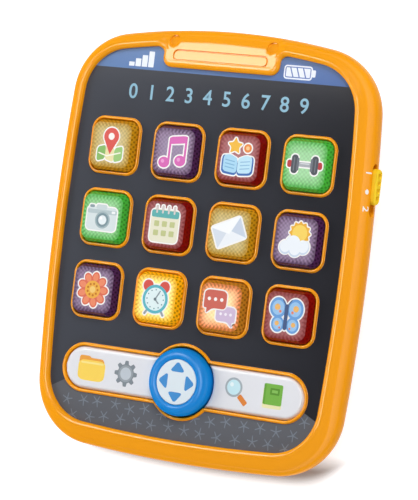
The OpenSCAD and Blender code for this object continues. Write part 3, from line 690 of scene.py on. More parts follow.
def cap_finish(name, top_hex, edge_hex, side_hex, dots, glow):
    """Tinted polycarbonate over a diffuser: a frosted top with a fine weave, and clear slopes with dots.

    The weave and the dots are drawn about twice as coarse as they are, so that they show.
    """
    made, tree, where = start_material("tinted_polycarbonate_" + name)
    keys = ("slope", "reach", "rib")
    slope, reach, rib = (add(tree, "Attribute", out="Fac", attribute_name=key) for key in keys)
    jag = add(tree, "Math", {0: rib, 1: 0.07, 2: reach}, operation="MULTIPLY_ADD")
    toward = add(tree, "MapRange", {"Value": reach, "From Min": 0.5, "From Max": 1.0})
    border = add(tree, "MapRange", {"Value": jag, "From Min": 0.86, "From Max": 1.02, "To Max": 0.7})
    tones = {0: toward, MIX_A: linear(top_hex), MIX_B: linear(edge_hex)}
    frost = add(tree, "Mix", tones, MIXED, data_type="RGBA")
    place = add(tree, "SeparateXYZ", {"Vector": where}).node.outputs
    rows = []
    for axis, pitch in (("X", weave_pitch), ("Y", weave_pitch), ("Z", dot_pitch)):
        turn = add(tree, "Math", {0: place[axis], 1: 2 * math.pi * per_mm(pitch)}, operation="MULTIPLY")
        rows.append(add(tree, "Math", {0: turn}, operation="COSINE"))
    cross = add(tree, "Math", {0: rows[0], 1: rows[1]}, operation="MULTIPLY")
    fleck = add(tree, "TexNoise", {"Vector": where, "Scale": per_mm(1.8), "Detail": 2.0})
    spread = {"Value": fleck, "From Min": 0.3, "From Max": 0.7, "To Min": -0.3, "To Max": 0.2}
    patchy = add(tree, "MapRange", spread)
    grain = add(tree, "Math", {0: cross, 1: 0.8, 2: patchy}, operation="MULTIPLY_ADD")
    coarse = add(tree, "Math", {0: toward, 1: 0.5 * dots, 2: 0.14}, operation="MULTIPLY_ADD")
    weave = add(tree, "Math", {0: grain, 1: coarse, 2: 1.0}, operation="MULTIPLY_ADD")
    top = add(tree, "VectorMath", {0: frost, 1: weave}, operation="MULTIPLY")
    both = add(tree, "Math", {0: rows[2], 1: rib}, operation="MULTIPLY")
    dark = {"Value": both, "From Min": -0.1, "From Max": 0.6, "To Min": 1.1, "To Max": 1 - dots}
    dotted = add(tree, "MapRange", dark)
    side = add(tree, "VectorMath", {0: linear(side_hex)[:3], 1: dotted}, operation="MULTIPLY")
    share = add(tree, "Math", {0: slope, 1: border}, operation="MAXIMUM")
    colour = add(tree, "Mix", {0: share, MIX_A: top, MIX_B: side}, MIXED, data_type="RGBA")
    inputs = {
        "Base Color": colour,
        "Roughness": add(tree, "MapRange", {"Value": slope, "To Min": 0.34, "To Max": 0.16}),
        "IOR": 1.5,
        "Specular IOR Level": 0.2,
        "Normal": add(tree, "Bump", {"Height": grain, "Distance": 0.004 * MM}),
    }
    if glow:
        inputs["Emission Color"] = colour
        inputs["Emission Strength"] = glow
    end_material(tree, inputs)
    return made


orange = moulded_abs("moulded_abs_orange", "#FBA312", "#F79E0F", 0.12, 0.5, "#FFF9EE")
white = moulded_abs("moulded_abs_white", "#E9EAEE", "#E4E5EA", 0.20, 0.35)
blue = moulded_abs("moulded_abs_blue", "#1187D8", "#0F80CE", 0.30, 0.32)
pearl = moulded_abs("moulded_abs_pearl", "#E1EBF1", "#D8E4EB", 0.3, 0.3)
yellow = moulded_abs("moulded_abs_yellow", "#FAD42E", "#F4CC26", 0.22, 0.4, "#FFF2C8")
ink = ink_finish()
film = film_finish()
# Each tint: its top, its top's edge, its sides, strength of its dots and glow
tints = {
    "amber": ("#D2C08A", "#C0A24E", "#C48C14", 0.5, 0),
    "violet": ("#9A88A4", "#846A88", "#43204A", 0.6, 0),
    "crimson": ("#B07274", "#9C5252", "#7A0806", 0.25, 0),
    "green": ("#A4D8A2", "#72C06C", "#42AE3A", 0.4, 0),
    "sunny": ("#FFF8B4", "#F0BE34", "#E0A00C", 0.5, 0.25),
    "coral": ("#FAD8A0", "#E0784A", "#A86C1A", 0.5, 0.2),
}
cap_finishes = {name: cap_finish(name, *tint) for name, tint in tints.items()}

# Front shell

rim_insets = (recess_in - bead_foot) * (1 - np.cos(np.radians(np.linspace(0, 90, 15))))
tab_row = 8

# Margins of the window around the slot: at its ends, below and above it
window_ends, window_below, window_above = 3.0, 1.6, 2.6
# The slot's wall as (depth, growth), from inside to its round edge
slot_rows = [(wall, 0.0), (0.6, 0.0), (0.3, 0.02), (0.1, 0.12), (0.0, slot_round)]
# The groove as shares of its width and depth, from outside to inside, and a dimple as shares of its own
groove_rows = [(1, 0), (0.75, 0.2), (0.35, 0.9), (-0.35, 0.9), (-0.75, 0.2), (-1, 0)]
dimple_rows = [(1, 0), (0.95, 0.06), (0.9, 0.3), (0.87, 0.8), (0.78, 1.0), (0.4, 1.05), (0, 1.05)]


def rim_ring(inset):
    """Loop of the rim at an inset: it moves from the outline to the lifted one on its way to the bead."""
    share = eased(inset / (recess_in - bead_foot))
    loop = outline(inset) + share * (outline(inset, within) - outline(inset))
    return at_height(loop, rim_height(inset, loop))


def slot_loop(grow):
    """The slot's outline in the right wall, along Y and Z: a bar with round ends."""
    return rounded(slot_l + 2 * grow, slot_h + 2 * grow, slot_h / 2 + grow, (slot_y, slot_z), 88)


def wall_parts():
    """Side wall from the parting line up to the rim, with a window in its right side for the switch slot."""
    inset, z = bowl_row(np.linspace(math.acos(1 - (parting_z + parting_lip) / bowl_h), math.pi / 2, 9))
    inset, z = np.r_[inset[0] + parting_lip, inset], np.r_[parting_z, z]
    rings = [at_height(outline(i), h) for i, h in zip(inset, z)]
    rings += [rim_ring(i) for i in rim_insets[:tab_row + 1]]
    grid = np.stack(rings, 1)
    near_slot = np.abs(grid[:, 0, 1] - slot_y) < slot_l / 2 + window_ends
    right = np.flatnonzero((around[2][:, 0] > 0.9) & near_slot)
    z = grid[right[0], :, 2] - slot_z
    level = np.flatnonzero((z > -slot_h / 2 - window_below) & (z < slot_h / 2 + window_above))
    i0, i1, j0, j1 = right[0], right[-1], level[0], level[-1]
    points, quads = grid_part(grid)
    quads = np.array(quads)
    i, j = quads[:, 0] // len(rings), quads[:, 0] % len(rings)
    cut = (i >= i0) & (i < i1) & (j >= j0) & (j < j1)
    yz = grid[:, :, 1:]
    window = np.vstack([yz[i0:i1, j0], yz[i1, j0:j1], yz[i1:i0:-1, j1], yz[i0, j1:j0:-1]])
    flat, faces = patch(window, [slot_loop(slot_round)], 0.8)
    slot = tube([on_side(slot_loop(grow), depth) for depth, grow in slot_rows])
    return [(points, quads[~cut].tolist()), (on_side(flat), faces.tolist()), slot]


def bead_part():
    """Bead along the screen's edge: a gentle rise from the rim, a quarter ellipse and the recess's wall."""
    on_tab = np.arange(len(screen_edge)) >= below_tab
    edge = screen_edge + bead_w * screen_out
    crest = crest_z + on_tab * tab_share(edge) * (top_height(edge) - crest_z)
    rings = []
    for share in np.linspace(1, 0, 7):
        d = bead_w + (bead_foot - bead_w) * share
        xy = screen_edge + d * screen_out
        base = np.where(on_tab, top_height(xy), rim_height(recess_in - d))
        rise = on_tab * tab_share(xy) * (top_height(xy) - base)
        rings.append(at_height(xy, crest + (base - crest) * eased(share) + rise))
    for t in np.radians(np.linspace(0, 90, 9))[1:]:
        xy = screen_edge + bead_w * (1 - math.sin(t)) * screen_out
        rings.append(at_height(xy, crest - bead_h * (1 - math.cos(t))))
    rings.append(at_height(screen_edge, face_z - bead_sink))
    return tube(rings)


def bar_loop(grow):
    """Outline of the tab's bar, grown by a share of its groove's width."""
    size = grow * groove_w
    return rounded(bar_l + size, bar_h + size, bar_r + size / 2, (0, bar_y), 160)


def draped(outer, holes, spacing):
    """A patch laid on the tab."""
    flat, faces = patch(outer, holes, spacing)
    return raised(flat, faces, top_height(flat))


def let_in(loops, drops):
    """Loops on the tab, each let down by its own amount."""
    return tube([at_height(loop, top_height(loop) - drop) for loop, drop in zip(loops, drops)])


def tab_parts():
    """Face of the tab with the groove around its bar and two round dimples."""
    foot = screen_edge + bead_foot * screen_out
    insets = rim_insets[tab_row + 1:-1]
    centre, radius, normal = around
    left, right = (centre[k] + np.outer(radius[k] - insets, normal[k]) for k in (0, below_tab - 1))
    top = outline(rim_insets[tab_row])
    top = np.vstack([top[below_tab - 1:], top[:1]])[::-1]
    edge = np.vstack([foot[below_tab - 1:], foot[:1], left[::-1], top, right])
    spots = [(s * dimple_at[0], dimple_at[1]) for s in SIDES]
    holes = [bar_loop(1), *(circle(dimple_r, spot) for spot in spots)]
    parts = [draped(edge, holes, 0.8), draped(bar_loop(-1), (), 1.1)]
    parts.append(let_in([bar_loop(g) for g, _ in groove_rows], [groove_d * d for _, d in groove_rows]))
    for spot in spots:
        loops = [circle(dimple_r * share, spot) for share, _ in dimple_rows]
        parts.append(let_in(loops, [dimple_d * d for _, d in dimple_rows]))
    return parts


def collar_profile():
    """A collar from outside to inside: a small fillet at its foot, half an ellipse, a straight inner wall."""
    reach = collar_w + collar_fillet
    foot = arc((reach, face_z + collar_fillet), collar_fillet, -90, -180, 4)
    a = np.radians(np.linspace(0, 180, 13))
    crest = np.c_[collar_w / 2 * (1 + np.cos(a)), collar_z - collar_round + collar_round * np.sin(a)]
    return np.vstack([[reach, face_z - collar_fillet], foot, crest, [0, deep_z]])


def dock_loop(grow=0.0):
    """Outline of the dock: a bar with round ends, a round bulge in its middle and fillets between them."""
    a, b, f = dock_h / 2 + dock_gap, nav_hole_r + dock_gap, dock_fillet
    end = dock_l / 2 - dock_h / 2
    fx, fy = math.sqrt((b + f) ** 2 - (a + f) ** 2), a + f
    t = math.degrees(math.atan2(fy, fx))
    half = np.vstack([
        arc((end, 0), a, -90, 90, 32), arc((fx, fy), f, -90, t - 180, 8),
        arc((0, 0), b, t, 180 - t, 40), arc((-fx, fy), f, -t, -90, 8),
    ])
    loop = even(np.vstack([half, -half]), 420) + np.array([0, dock_y])
    return loop + grow * outward(loop)


button_at = [middle(f"app_button_{k + 1}")[:2] for k in range(button_count)]
openings = [rounded(opening_w, opening_w, opening_r, c, 112) for c in button_at]
shoulder = tube([rim_ring(inset)[:below_tab] for inset in rim_insets[tab_row:]], closed=False)
collars = [carry(loop, collar_profile()) for loop in [*openings, dock_loop()]]
shell = [*wall_parts(), shoulder, *tab_parts(), bead_part(), *collars]
piece("front_case_shell", shell, orange, "case", ["front_case"])

# Printed faceplate

screen_tuck = 0.05
under_collar = collar_w + 0.15
screen_loop = screen_edge + screen_tuck * screen_out
screen_holes = [loop + under_collar * outward(loop) for loop in openings] + [dock_loop(under_collar)]
sheet = fill(screen_loop, face_z, screen_holes)
piece("printed_faceplate", [sheet], film, "case", ["faceplate"])

# Caps of the app buttons

cap_names = ["amber", "violet", "crimson", "green", "green", "crimson", "amber", "violet"]
cap_names += ["violet", "sunny", "coral", "crimson"]
rib_count = 36
rib_steps = 8
cap_stations = rib_steps * rib_count


def cap_parts(centre):
    """A cap as rings: a straight wall, a slope, a round edge and a flat top.

    Its values are the slope (1 on the sides), the reach from its top's middle and the ribs on its sides.
    """
    slope_h = cap_top - cap_edge - cap_foot
    rows = [(0, deep_z, 1), (0, cap_foot, 1)]
    rows += [(cap_taper * s, cap_foot + slope_h * s, 1) for s in np.linspace(0.05, 1, 8)]
    for t in np.radians(np.linspace(18, 90, 7)):
        inset = cap_taper + cap_edge * (1 - math.cos(t))
        rows.append((inset, cap_top - cap_edge + cap_edge * math.sin(t), 1 - eased((t - 0.4) / 0.6)))
    rings = []
    for inset, z, _ in rows:
        size = cap_w - 2 * inset
        rings.append(at_height(rounded(size, size, cap_r - 0.5 * inset, (0, 0), cap_stations), z))
    shares = [0.9, 0.7, 0.5, 0.25, 0.0]
    rings += [rings[-1] * (share, share, 1) for share in shares]
    shape = (cap_stations, len(rings))
    rib = np.cos(2 * np.pi * np.arange(cap_stations) / rib_steps)
    values = {
        "slope": ("FLOAT", np.broadcast_to([side for _, _, side in rows] + [0] * len(shares), shape)),
        "reach": ("FLOAT", np.broadcast_to([1] * len(rows) + shares, shape)),
        "rib": ("FLOAT", np.broadcast_to(rib[:, None], shape)),
    }
    return [shifted(tube(rings), (*centre, 0))], values


for k, name in enumerate(cap_names):
    button = f"app_button_{k + 1}"
    parts, values = cap_parts(button_at[k])
    piece(f"{button}_cap", parts, cap_finishes[name], button, [button], 40, values)

# Dock panel and navigation button


def lobe_parts():
    """Right half of the dock's face beside the round button: a soft pillow that rises from its edge."""
    a, b = dock_h / 2, nav_hole_r
    t = math.degrees(math.asin(a / b))
    loop = np.vstack([arc((dock_l / 2 - a, 0), a, -90, 90, 40), arc((0, 0), b, t, -t, 30)])
    loop = even(loop, 300)
    flat, faces = patch(loop, (), 0.55)
    d = nearest(flat, even(loop, 1500))
    foot = dock_face - pillow_h - crown_h
    crown = crown_h * (1 - (1 - np.clip(d / crown_w, 0, 1)) ** 2)
    parts = [raised(flat, faces, foot + pillow_h * quarter(d / pillow_w) + crown)]
    parts.append(carry(loop, [(0, deep_z), (0, foot)]))
    return [shifted(part, (0, dock_y, 0)) for part in parts]


lobes = lobe_parts()
lobes += [turned_over((points * (-1, 1, 1), faces)) for points, faces in lobes]
piece("dock_panel_face", lobes, white, "case", ["dock_panel"], 40)
ring_profile = np.vstack([
    [[nav_r, deep_z]],
    arc((nav_r - ring_roll, nav_top - ring_roll), ring_roll, 0, 90, 14),
    arc((nav_r - ring_roll, nav_top - ring_bevel), ring_bevel, 90, 110, 4),
    [[inlay_r + 0.25, nav_top - 0.40], [inlay_r + 0.15, nav_top - 0.52]],
    [[inlay_r + 0.12, inlay_z - inlay_sink]],
])
nav_ring = turned(ring_profile, (0, dock_y))
piece("nav_button_ring", [nav_ring], blue, "nav_button", ["nav_button"], 40)
inlay_profile = np.vstack([
    [[inlay_r, inlay_z - inlay_sink]],
    arc((inlay_r - inlay_round, inlay_z - inlay_round), inlay_round, 0, 90, 5),
    [[inlay_r * s, inlay_z] for s in (0.7, 0.4, 0.0)],
])
nav_inlay = turned(inlay_profile, (0, dock_y))
piece("nav_button_inlay", [nav_inlay], pearl, "nav_button", ["nav_inlay"])

# Prints: flat shapes in layers, each a thin plate of ink

ink_lift = 0.012
ink_step = 0.006
ink_sink = 0.05
border_w = 0.6


def disc(x, y, r, tall=1.0):
    """A disc, or an ellipse where it is taller than wide."""
    return circle(r, (0, 0), 36) * (1, tall) + (x, y)


def bar(x0, y0, x1, y1, width):
    """A stroke with round ends between two points."""
    t = bearing((x0, y0), (x1, y1))
    r = width / 2
    return np.vstack([arc((x1, y1), r, t - 90, t + 90, 10), arc((x0, y0), r, t + 90, t + 270, 10)])


def block(x, y, width, height, r, turn=0.0):
    """A rectangle with round corners, turned by an angle."""
    loop = rounded(width, height, min(r, width / 2.01, height / 2.01), (0, 0), 48)
    return spun(loop, turn) + (x, y)


def soft(points, rounds=2):
    """A polygon with its corners cut again and again until it is smooth."""
    loop = np.array(points, float)
    for _ in range(rounds):
        ahead = np.roll(loop, -1, axis=0)
        loop = np.stack([0.85 * loop + 0.15 * ahead, 0.15 * loop + 0.85 * ahead], 1).reshape(-1, 2)
    return loop


def star(x, y, r, inner, points=5):
    """A star: outer and inner radius by turns, from its top point."""
    a = np.radians(90 + np.arange(2 * points) * 180 / points)
    reach = np.where(np.arange(2 * points) % 2 == 0, r, inner * r)
    return soft(np.c_[x + reach * np.cos(a), y + reach * np.sin(a)])


def gear(r, root, teeth):
    """A toothed wheel: each tooth is a flat-topped bump on its root circle."""
    a = np.arange(teeth * 12) * 2 * np.pi / (teeth * 12)
    reach = root + (r - root) * np.clip(2.4 * np.cos(teeth * a) + 0.5, 0, 1)
    return np.c_[reach * np.cos(a), reach * np.sin(a)]


def petals(reach, r, long):
    """Nine oval petals that point away from the middle."""
    petal = disc(0, 0, r) * (long, 1.0) + (reach, 0)
    return [spun(petal, 40 * k) for k in range(9)]


def flipped(points):
    """A polygon mirrored left to right."""
    return [(-x, y) for x, y in points[::-1]]


def bubble(x, y, width, height, side):
    """A speech bubble: a soft block with a tail toward one side."""
    w, h = width / 2, height / 2
    tail = [(0.2 * w, -h), (0.75 * w, -h - 1.9), (0.7 * w, -h)]
    loop = [(-w, -h), *(tail if side > 0 else flipped(tail)), (w, -h), (w, h), (-w, h)]
    return soft(np.array(loop) + (x, y), 3)


def grown(loop, margin):
    """A loop made larger all round."""
    even_loop = even(loop, max(len(loop), 72))
    return even_loop + margin * outward(even_loop)


def inked(hex_colour, *loops):
    """Layers of one ink."""
    return [(loop, hex_colour) for loop in loops]


def print_piece(name, layers, place, body, step=ink_step, sink=ink_sink):
    """A print on a body: plates of ink, each a step above the last, with the ink's colour at their points."""
    parts, colours = [], []
    for k, (loop, hex_colour) in enumerate(layers):
        n = len(loop)
        i = np.arange(n)
        plate = np.vstack([at_height(loop, ink_lift + step * k), at_height(loop, -sink)])
        walls = np.c_[n + i, n + (i + 1) % n, (i + 1) % n, i].tolist()
        parts.append((plate + np.asarray(place), [i.tolist(), (n + i[::-1]).tolist(), *walls]))
        colours.append(np.tile(linear(hex_colour), (2 * n, 1)))
    piece(name, parts, ink, body, (), 30, {"ink": ("FLOAT_COLOR", np.vstack(colours))})


def sticker(shapes, size):
    """Shapes at a size over a pale border that follows them: the first list makes the border too."""
    outer, inner = ([(loop * size, hex_colour) for loop, hex_colour in part] for part in shapes)
    return inked("#F7F5F2", *(grown(loop, border_w) for loop, _ in outer)) + outer + inner


# Pictures on the caps: each gives the shapes that have a border and the shapes on top of them


def map_pin():
    """A pin over a folded map."""
    folds = [(-5.6, -1.2, -6.6), (-2.0, -0.2, -5.6), (2.0, -1.2, -6.6), (5.6, -0.2, -5.6)]
    tones = ("#86B862", "#E9DFA8", "#9CC878")
    sheets = []
    for (x0, high0, low0), (x1, high1, low1), tone in zip(folds, folds[1:], tones):
        sheets += inked(tone, soft([(x0, low0), (x1, low1), (x1, high1), (x0, high0)]))
    pin = inked("#D9534A", np.vstack([arc((0, 3.2), 3.3, -35, 215, 30), [[0, -3.6]]]))
    roads = inked("#F7F3E4", bar(-4.8, -3.4, -1.2, -4.4, 0.5), bar(-1.2, -4.4, 4.6, -2.8, 0.5))
    return sheets + pin, roads + pin + inked("#F7EFEA", disc(0, 3.2, 1.35))


def music_notes():
    """Two notes joined by a beam."""
    heads = disc(-3.5, -4.3, 2.3, 0.85), disc(3.1, -3.3, 2.3, 0.85)
    stems = bar(-1.7, -4.0, -1.7, 4.3, 0.9), bar(4.9, -3.0, 4.9, 5.2, 0.9)
    beam = soft([(-2.15, 5.1), (-2.15, 2.4), (5.35, 3.3), (5.35, 6.0)])
    glints = inked("#E79BCF", disc(-4.1, -3.9, 0.7), disc(2.5, -2.9, 0.7))
    return inked("#D867B4", *heads, *stems, beam), glints


def story_book():
    """An open book with a star above it."""
    cover = [(-6.2, 0.6), (-6.2, -5.6), (0, -6.2), (0, -0.4), (-3.2, 0.9)]
    page = [(-5.6, 0.6), (-5.6, -4.9), (-0.1, -5.4), (-0.1, -0.2), (-3.1, 1.1)]
    rows = [-0.9 - 1.2 * k for k in range(3)]
    spark = inked("#F0B93A", star(-1.6, 4.0, 3.1, 0.5))
    outer = inked("#3F6FB4", soft(cover), soft(flipped(cover))) + spark
    inner = inked("#A9D6EE", soft(page)) + inked("#BFE3F3", soft(flipped(page)))
    inner += inked("#7FB2D6", *(bar(-4.7, y, -1.2, y - 0.5, 0.35) for y in rows))
    inner += inked("#8FBEDD", *(bar(1.2, y - 0.5, 4.7, y, 0.35) for y in rows)) + spark
    return outer + inked("#E8893C", disc(3.4, 3.6, 1.5)), inner + inked("#F6C88A", disc(3.4, 3.6, 0.7))


def dumbbell():
    """A dumbbell with dark plates and red collars."""
    outer = inked("#A9ADB2", block(0, 0, 12.6, 1.6, 0.8))
    outer += inked("#B43A3E", *(block(s * 6.0, 0, 1.8, 2.6, 0.8) for s in SIDES))
    outer += inked("#4C5058", *(block(s * 4.0, 0, 2.6, 6.6, 1.2) for s in SIDES))
    inner = inked("#6A6F78", *(block(s * 2.7, 0, 0.9, 4.6, 0.4) for s in SIDES))
    inner += inked("#D3D6DA", bar(-1.6, 0.35, 1.6, 0.35, 0.4))
    return outer, inner + inked("#6F747D", *(bar(s * 4.2, -2.2, s * 4.2, 2.2, 0.4) for s in SIDES))


def camera():
    """A compact camera with a round lens."""
    outer = inked("#D9E3E4", block(0, -0.6, 12.4, 8.4, 1.4))
    outer += inked("#CBD7D9", block(-0.4, 3.6, 4.6, 1.8, 0.8))
    outer += inked("#8CA0A6", block(-4.4, 3.7, 2.0, 1.0, 0.45))
    inner = inked("#B9C9CC", block(0, 1.9, 12.2, 1.5, 0.3))
    for r, tone in ((3.1, "#A3B7BC"), (2.5, "#7C949C"), (1.7, "#EAF2F4")):
        inner += inked(tone, disc(0.4, -1.0, r))
    inner += inked("#FFFFFF", disc(-0.2, -0.4, 0.5)) + inked("#F2F6F6", block(4.7, 2.0, 1.5, 0.9, 0.3))
    return outer, inner


def calendar():
    """A wall calendar with rings and six day squares."""
    rings = [-3.6 + 2.4 * k for k in range(4)]
    days = [block(-3.2 + 3.2 * c, 0.2 - 3.3 * r, 2.0, 2.0, 0.3) for r in range(2) for c in range(3)]
    outer = inked("#E9E6CE", block(0, -0.5, 11.4, 11.6, 1.5))
    outer += inked("#C9B7B4", *(bar(x, 4.6, x, 6.3, 0.9) for x in rings))
    inner = inked("#5FB0AE", block(0, 3.7, 11.2, 2.6, 0.6))
    inner += inked("#D8CFCB", *(bar(x, 4.2, x, 6.2, 0.7) for x in rings))
    return outer, inner + inked("#C3C88E", *days)


def envelope():
    """A closed letter, a little turned."""
    turn = 24
    folds = [
        ("#D7DFEA", [(-1.1, 0.1), (-5.9, 3.6), (-5.9, -3.9)]),
        ("#C9D4E4", [(5.9, 3.6), (1.1, 0.1), (5.9, -3.9)]),
        ("#F8FAFC", [(5.9, 3.9), (0, -0.6), (-5.9, 3.9)]),
    ]
    outer = inked("#EEF2F7", spun(block(0, 0, 12.0, 8.0, 0.4), turn))
    return outer, [(spun(fold, turn), tone) for tone, fold in folds]


def sun_and_cloud():
    """A sun with short rays behind a cloud."""
    puffs = [(-3.6, -2.6, 2.3), (-0.6, -1.2, 3.0), (3.2, -2.0, 2.5), (0.2, -3.2, 2.4)]
    rays = inked("#EDB33C", star(1.4, 2.6, 4.3, 0.78, 12))
    sun = disc(1.4, 2.6, 2.9)
    outer = rays + inked("#F6CB55", sun) + inked("#E4EBF4", *(disc(*puff) for puff in puffs))
    inner = rays + inked("#F8D564", sun)
    inner += inked("#CFDCEC", *(disc(x, y - 0.3, r - 0.1) for x, y, r in puffs))
    return outer, inner + inked("#EEF3F9", *(disc(x, y + 0.2, r - 0.3) for x, y, r in puffs))


def flower():
    """A round flower with nine petals."""
    outer = inked("#E2725A", *petals(4.3, 1.6, 1.35), disc(0, 0, 4.4))
    inner = inked("#EE8F6B", *petals(4.5, 1.1, 1.3)) + inked("#F0B24A", disc(0, 0, 3.2))
    inner += inked("#C97A2E", *petals(2.1, 0.42, 1.0)) + inked("#F7CE78", disc(0, 0, 1.2))
    return outer, inner


def alarm_clock():
    """A twin-bell clock."""
    y = -0.4
    face = inked("#5FB6C4", disc(0, y, 5.5))
    ticks = [disc(3.6 * math.cos(t), y + 3.6 * math.sin(t), 0.26) for t in np.radians(np.arange(12) * 30)]
    outer = inked("#D8584E", *(disc(s * 3.6, 4.5, 2.2) for s in SIDES))
    outer += inked("#9AA4A8", *(bar(s * 3.2, -5.0, s * 4.0, -6.2, 0.9) for s in SIDES)) + face
    inner = face + inked("#E3F3F4", disc(0, y, 4.4)) + inked("#5A8E98", *ticks)
    inner += inked("#8A9AA0", bar(0, y, 1.6, 2.3, 0.5), bar(0, y, 1.5, -1.9, 0.5))
    return outer, inner + inked("#6F8087", disc(0, y, 0.6))


def chat():
    """Two speech bubbles with dots."""
    front, back = bubble(-1.9, 2.4, 8.6, 6.2, -1), bubble(2.6, -2.2, 7.4, 5.0, 1)
    outer = inked("#CDB7D2", back) + inked("#CF6A5C", front)
    inner = inked("#D3BEDA", back) + inked("#F3ECF6", *(disc(0.7 + 1.9 * k, -2.2, 0.5) for k in range(3)))
    inner += inked("#F4F2EE", grown(front, 0.4)) + inked("#CF6A5C", front)
    return outer, inner + inked("#FBF3EF", *(disc(-4.3 + 2.4 * k, 2.4, 0.62) for k in range(3)))


def butterfly():
    """A butterfly with spotted wings."""
    outer, inner = [], []
    for s in SIDES:
        for x, y, r in ((3.3, 2.6, 3.2), (2.9, -3.0, 2.5)):
            outer += inked("#6FA3DC", disc(s * x, y, r, 1.12))
            inner += inked("#9CC6EC", disc(s * x, y, 0.72 * r, 1.12))
            inner += inked("#F0B86A", disc(s * (x + 0.3), y + 0.2, 0.34 * r))
            inner += inked("#E88A6E", disc(s * (x - 0.9), y - 1.2, 0.16 * r))
    body = inked("#4A5E86", bar(0, -4.2, 0, 3.4, 1.4))
    feelers = inked("#4A5E86", *(bar(0, 3.2, s * 1.7, 5.6, 0.35) for s in SIDES))
    return outer + body, inner + body + feelers


pictures = [
    (map_pin, 1.13), (music_notes, 1.17), (story_book, 1.22), (dumbbell, 1.18),
    (camera, 1.2), (calendar, 1.2), (envelope, 1.2), (sun_and_cloud, 1.2),
    (flower, 1.2), (alarm_clock, 1.12), (chat, 1.25), (butterfly, 1.2),
]
for k, (picture, size) in enumerate(pictures):
    button = f"app_button_{k + 1}"
    name = f"{button}_{picture.__name__}"
    place = (*button_at[k], cap_top)
    print_piece(name, sticker(picture(), size), place, button)

# Signs on the dock


def folder_sign():
    """A yellow folder with its back leaf."""
    back = [(-6.6, -4.6), (6.2, -4.6), (6.2, 4.6), (-0.6, 4.6), (-1.6, 5.4), (-5.9, 5.4), (-6.6, 4.6)]
    leaf = [(-6.7, -5.3), (6.7, -5.3), (6.9, 3.6), (-6.9, 3.6)]
    fold = inked("#FDE590", block(0.1, 2.4, 11.6, 0.8, 0.4))
    return inked("#EDA446", soft(back, 3)) + inked("#FDD75E", soft(leaf, 3)) + fold


def gear_sign():
    """A grey gear with a pale hub."""
    return [(gear(5.6, 4.1, 8), "#858D94"), (disc(0, 0, 3.6), "#9CA4AA"), (disc(0, 0, 2.7), "#C4CCD4")]


def lens_sign():
    """A magnifying glass."""
    handle = block(4.6, -4.9, 5.0, 2.3, 0.5, -43)
    return [(handle, "#E0853A"), (disc(0, 0, 4.1), "#A6B1B8"), (disc(0, 0, 3.2), "#C9EAF2"),
            (disc(-1.0, 1.1, 0.9), "#EAF8FB")]


def book_sign():
    """A green book with a label."""
    return [(block(0, -1.0, 9.0, 8.6, 0.5), "#EDE8B4"), (block(0.1, 0.6, 8.8, 8.8, 0.5), "#79B54A"),
            (block(-3.8, 0.6, 1.0, 8.6, 0.3), "#69A43D"), (block(0.9, 1.9, 4.4, 2.8, 0.3), "#5C9434"),
            (block(0.9, 1.9, 2.8, 1.2, 0.2), "#86BE5A")]


signs = [(folder_sign, -45.0, -57.9), (gear_sign, -27.7, -57.8)]
signs += [(lens_sign, 25.3, -56.4), (book_sign, 43.9, -57.6)]
for sign, x, y in signs:
    print_piece("dock_" + sign.__name__, sign(), (x, y, dock_face), "case")
arrow = soft([(-3.8, 4.3), (3.8, 4.3), (0, 9.0)])
arrows = inked("#4690D0", *(spun(arrow, 90 * k) for k in range(4)))
print_piece("nav_arrows", arrows, (0, dock_y, inlay_z), "nav_button")

# Signs on the faceplate

pale, deep_blue = "#E4EAF4", "#6079B6"
cell_x, cell_y = 36.9, 77.3
bars = [block(-44.1 + 3.2 * k, 74.3 + h / 2, 2.7, h, 0.15) for k, h in enumerate((1.8, 3.4, 5.0, 6.8))]
cell = block(cell_x, cell_y, 13.4, 5.9, 1.3)
cell_pole = block(44.3, cell_y, 1.6, 3.0, 0.5)
slant = np.array([(0.55, -2.2), (1.15, -2.2), (-0.55, 2.2), (-1.15, 2.2)])
slants = [slant + (cell_x + 3.0 * k, cell_y) for k in (-1, 0, 1)]
face_signs = inked(pale, *bars, cell, cell_pole) + inked(deep_blue, grown(cell, -0.6))
face_signs += inked(pale, grown(cell, -1.05)) + inked(deep_blue, *slants)
print_piece("signal_and_cell_signs", face_signs, (0, 0, face_z), "case")


def hill_stars():
    """Five-stroke stars on the grey hill, in staggered rows with a little jitter and turn."""
    rng = np.random.default_rng(7)
    gx, gy = np.meshgrid(np.arange(-64, 65, 8.0), np.arange(-84, -48, 6.0))
    at = np.c_[(gx + 4.0 * (np.arange(len(gx)) % 2)[:, None]).ravel(), gy.ravel()]
    at = at + rng.uniform(-0.8, 0.8, at.shape)
    depth = hill_r - np.hypot(at[:, 0] - hill_at[0], at[:, 1] - hill_at[1])
    keep = (depth > 2.4) & between(at, screen_loop, [dock_loop(under_collar)])
    arm = np.array([(0.36, -0.26), (2.5, -0.2), (2.75, 0.0), (2.5, 0.2)])
    shapes = []
    for spot, turn in zip(at[keep], rng.uniform(0, 72, len(at))):
        shapes.append(np.vstack([spun(arm, turn + 72 * k) for k in range(5)]) + spot)
    return inked("#79828D", *shapes)


star_sink = 0.018
print_piece("hill_star_print", hill_stars(), (0, 0, face_z), "case", 0.0, star_sink)


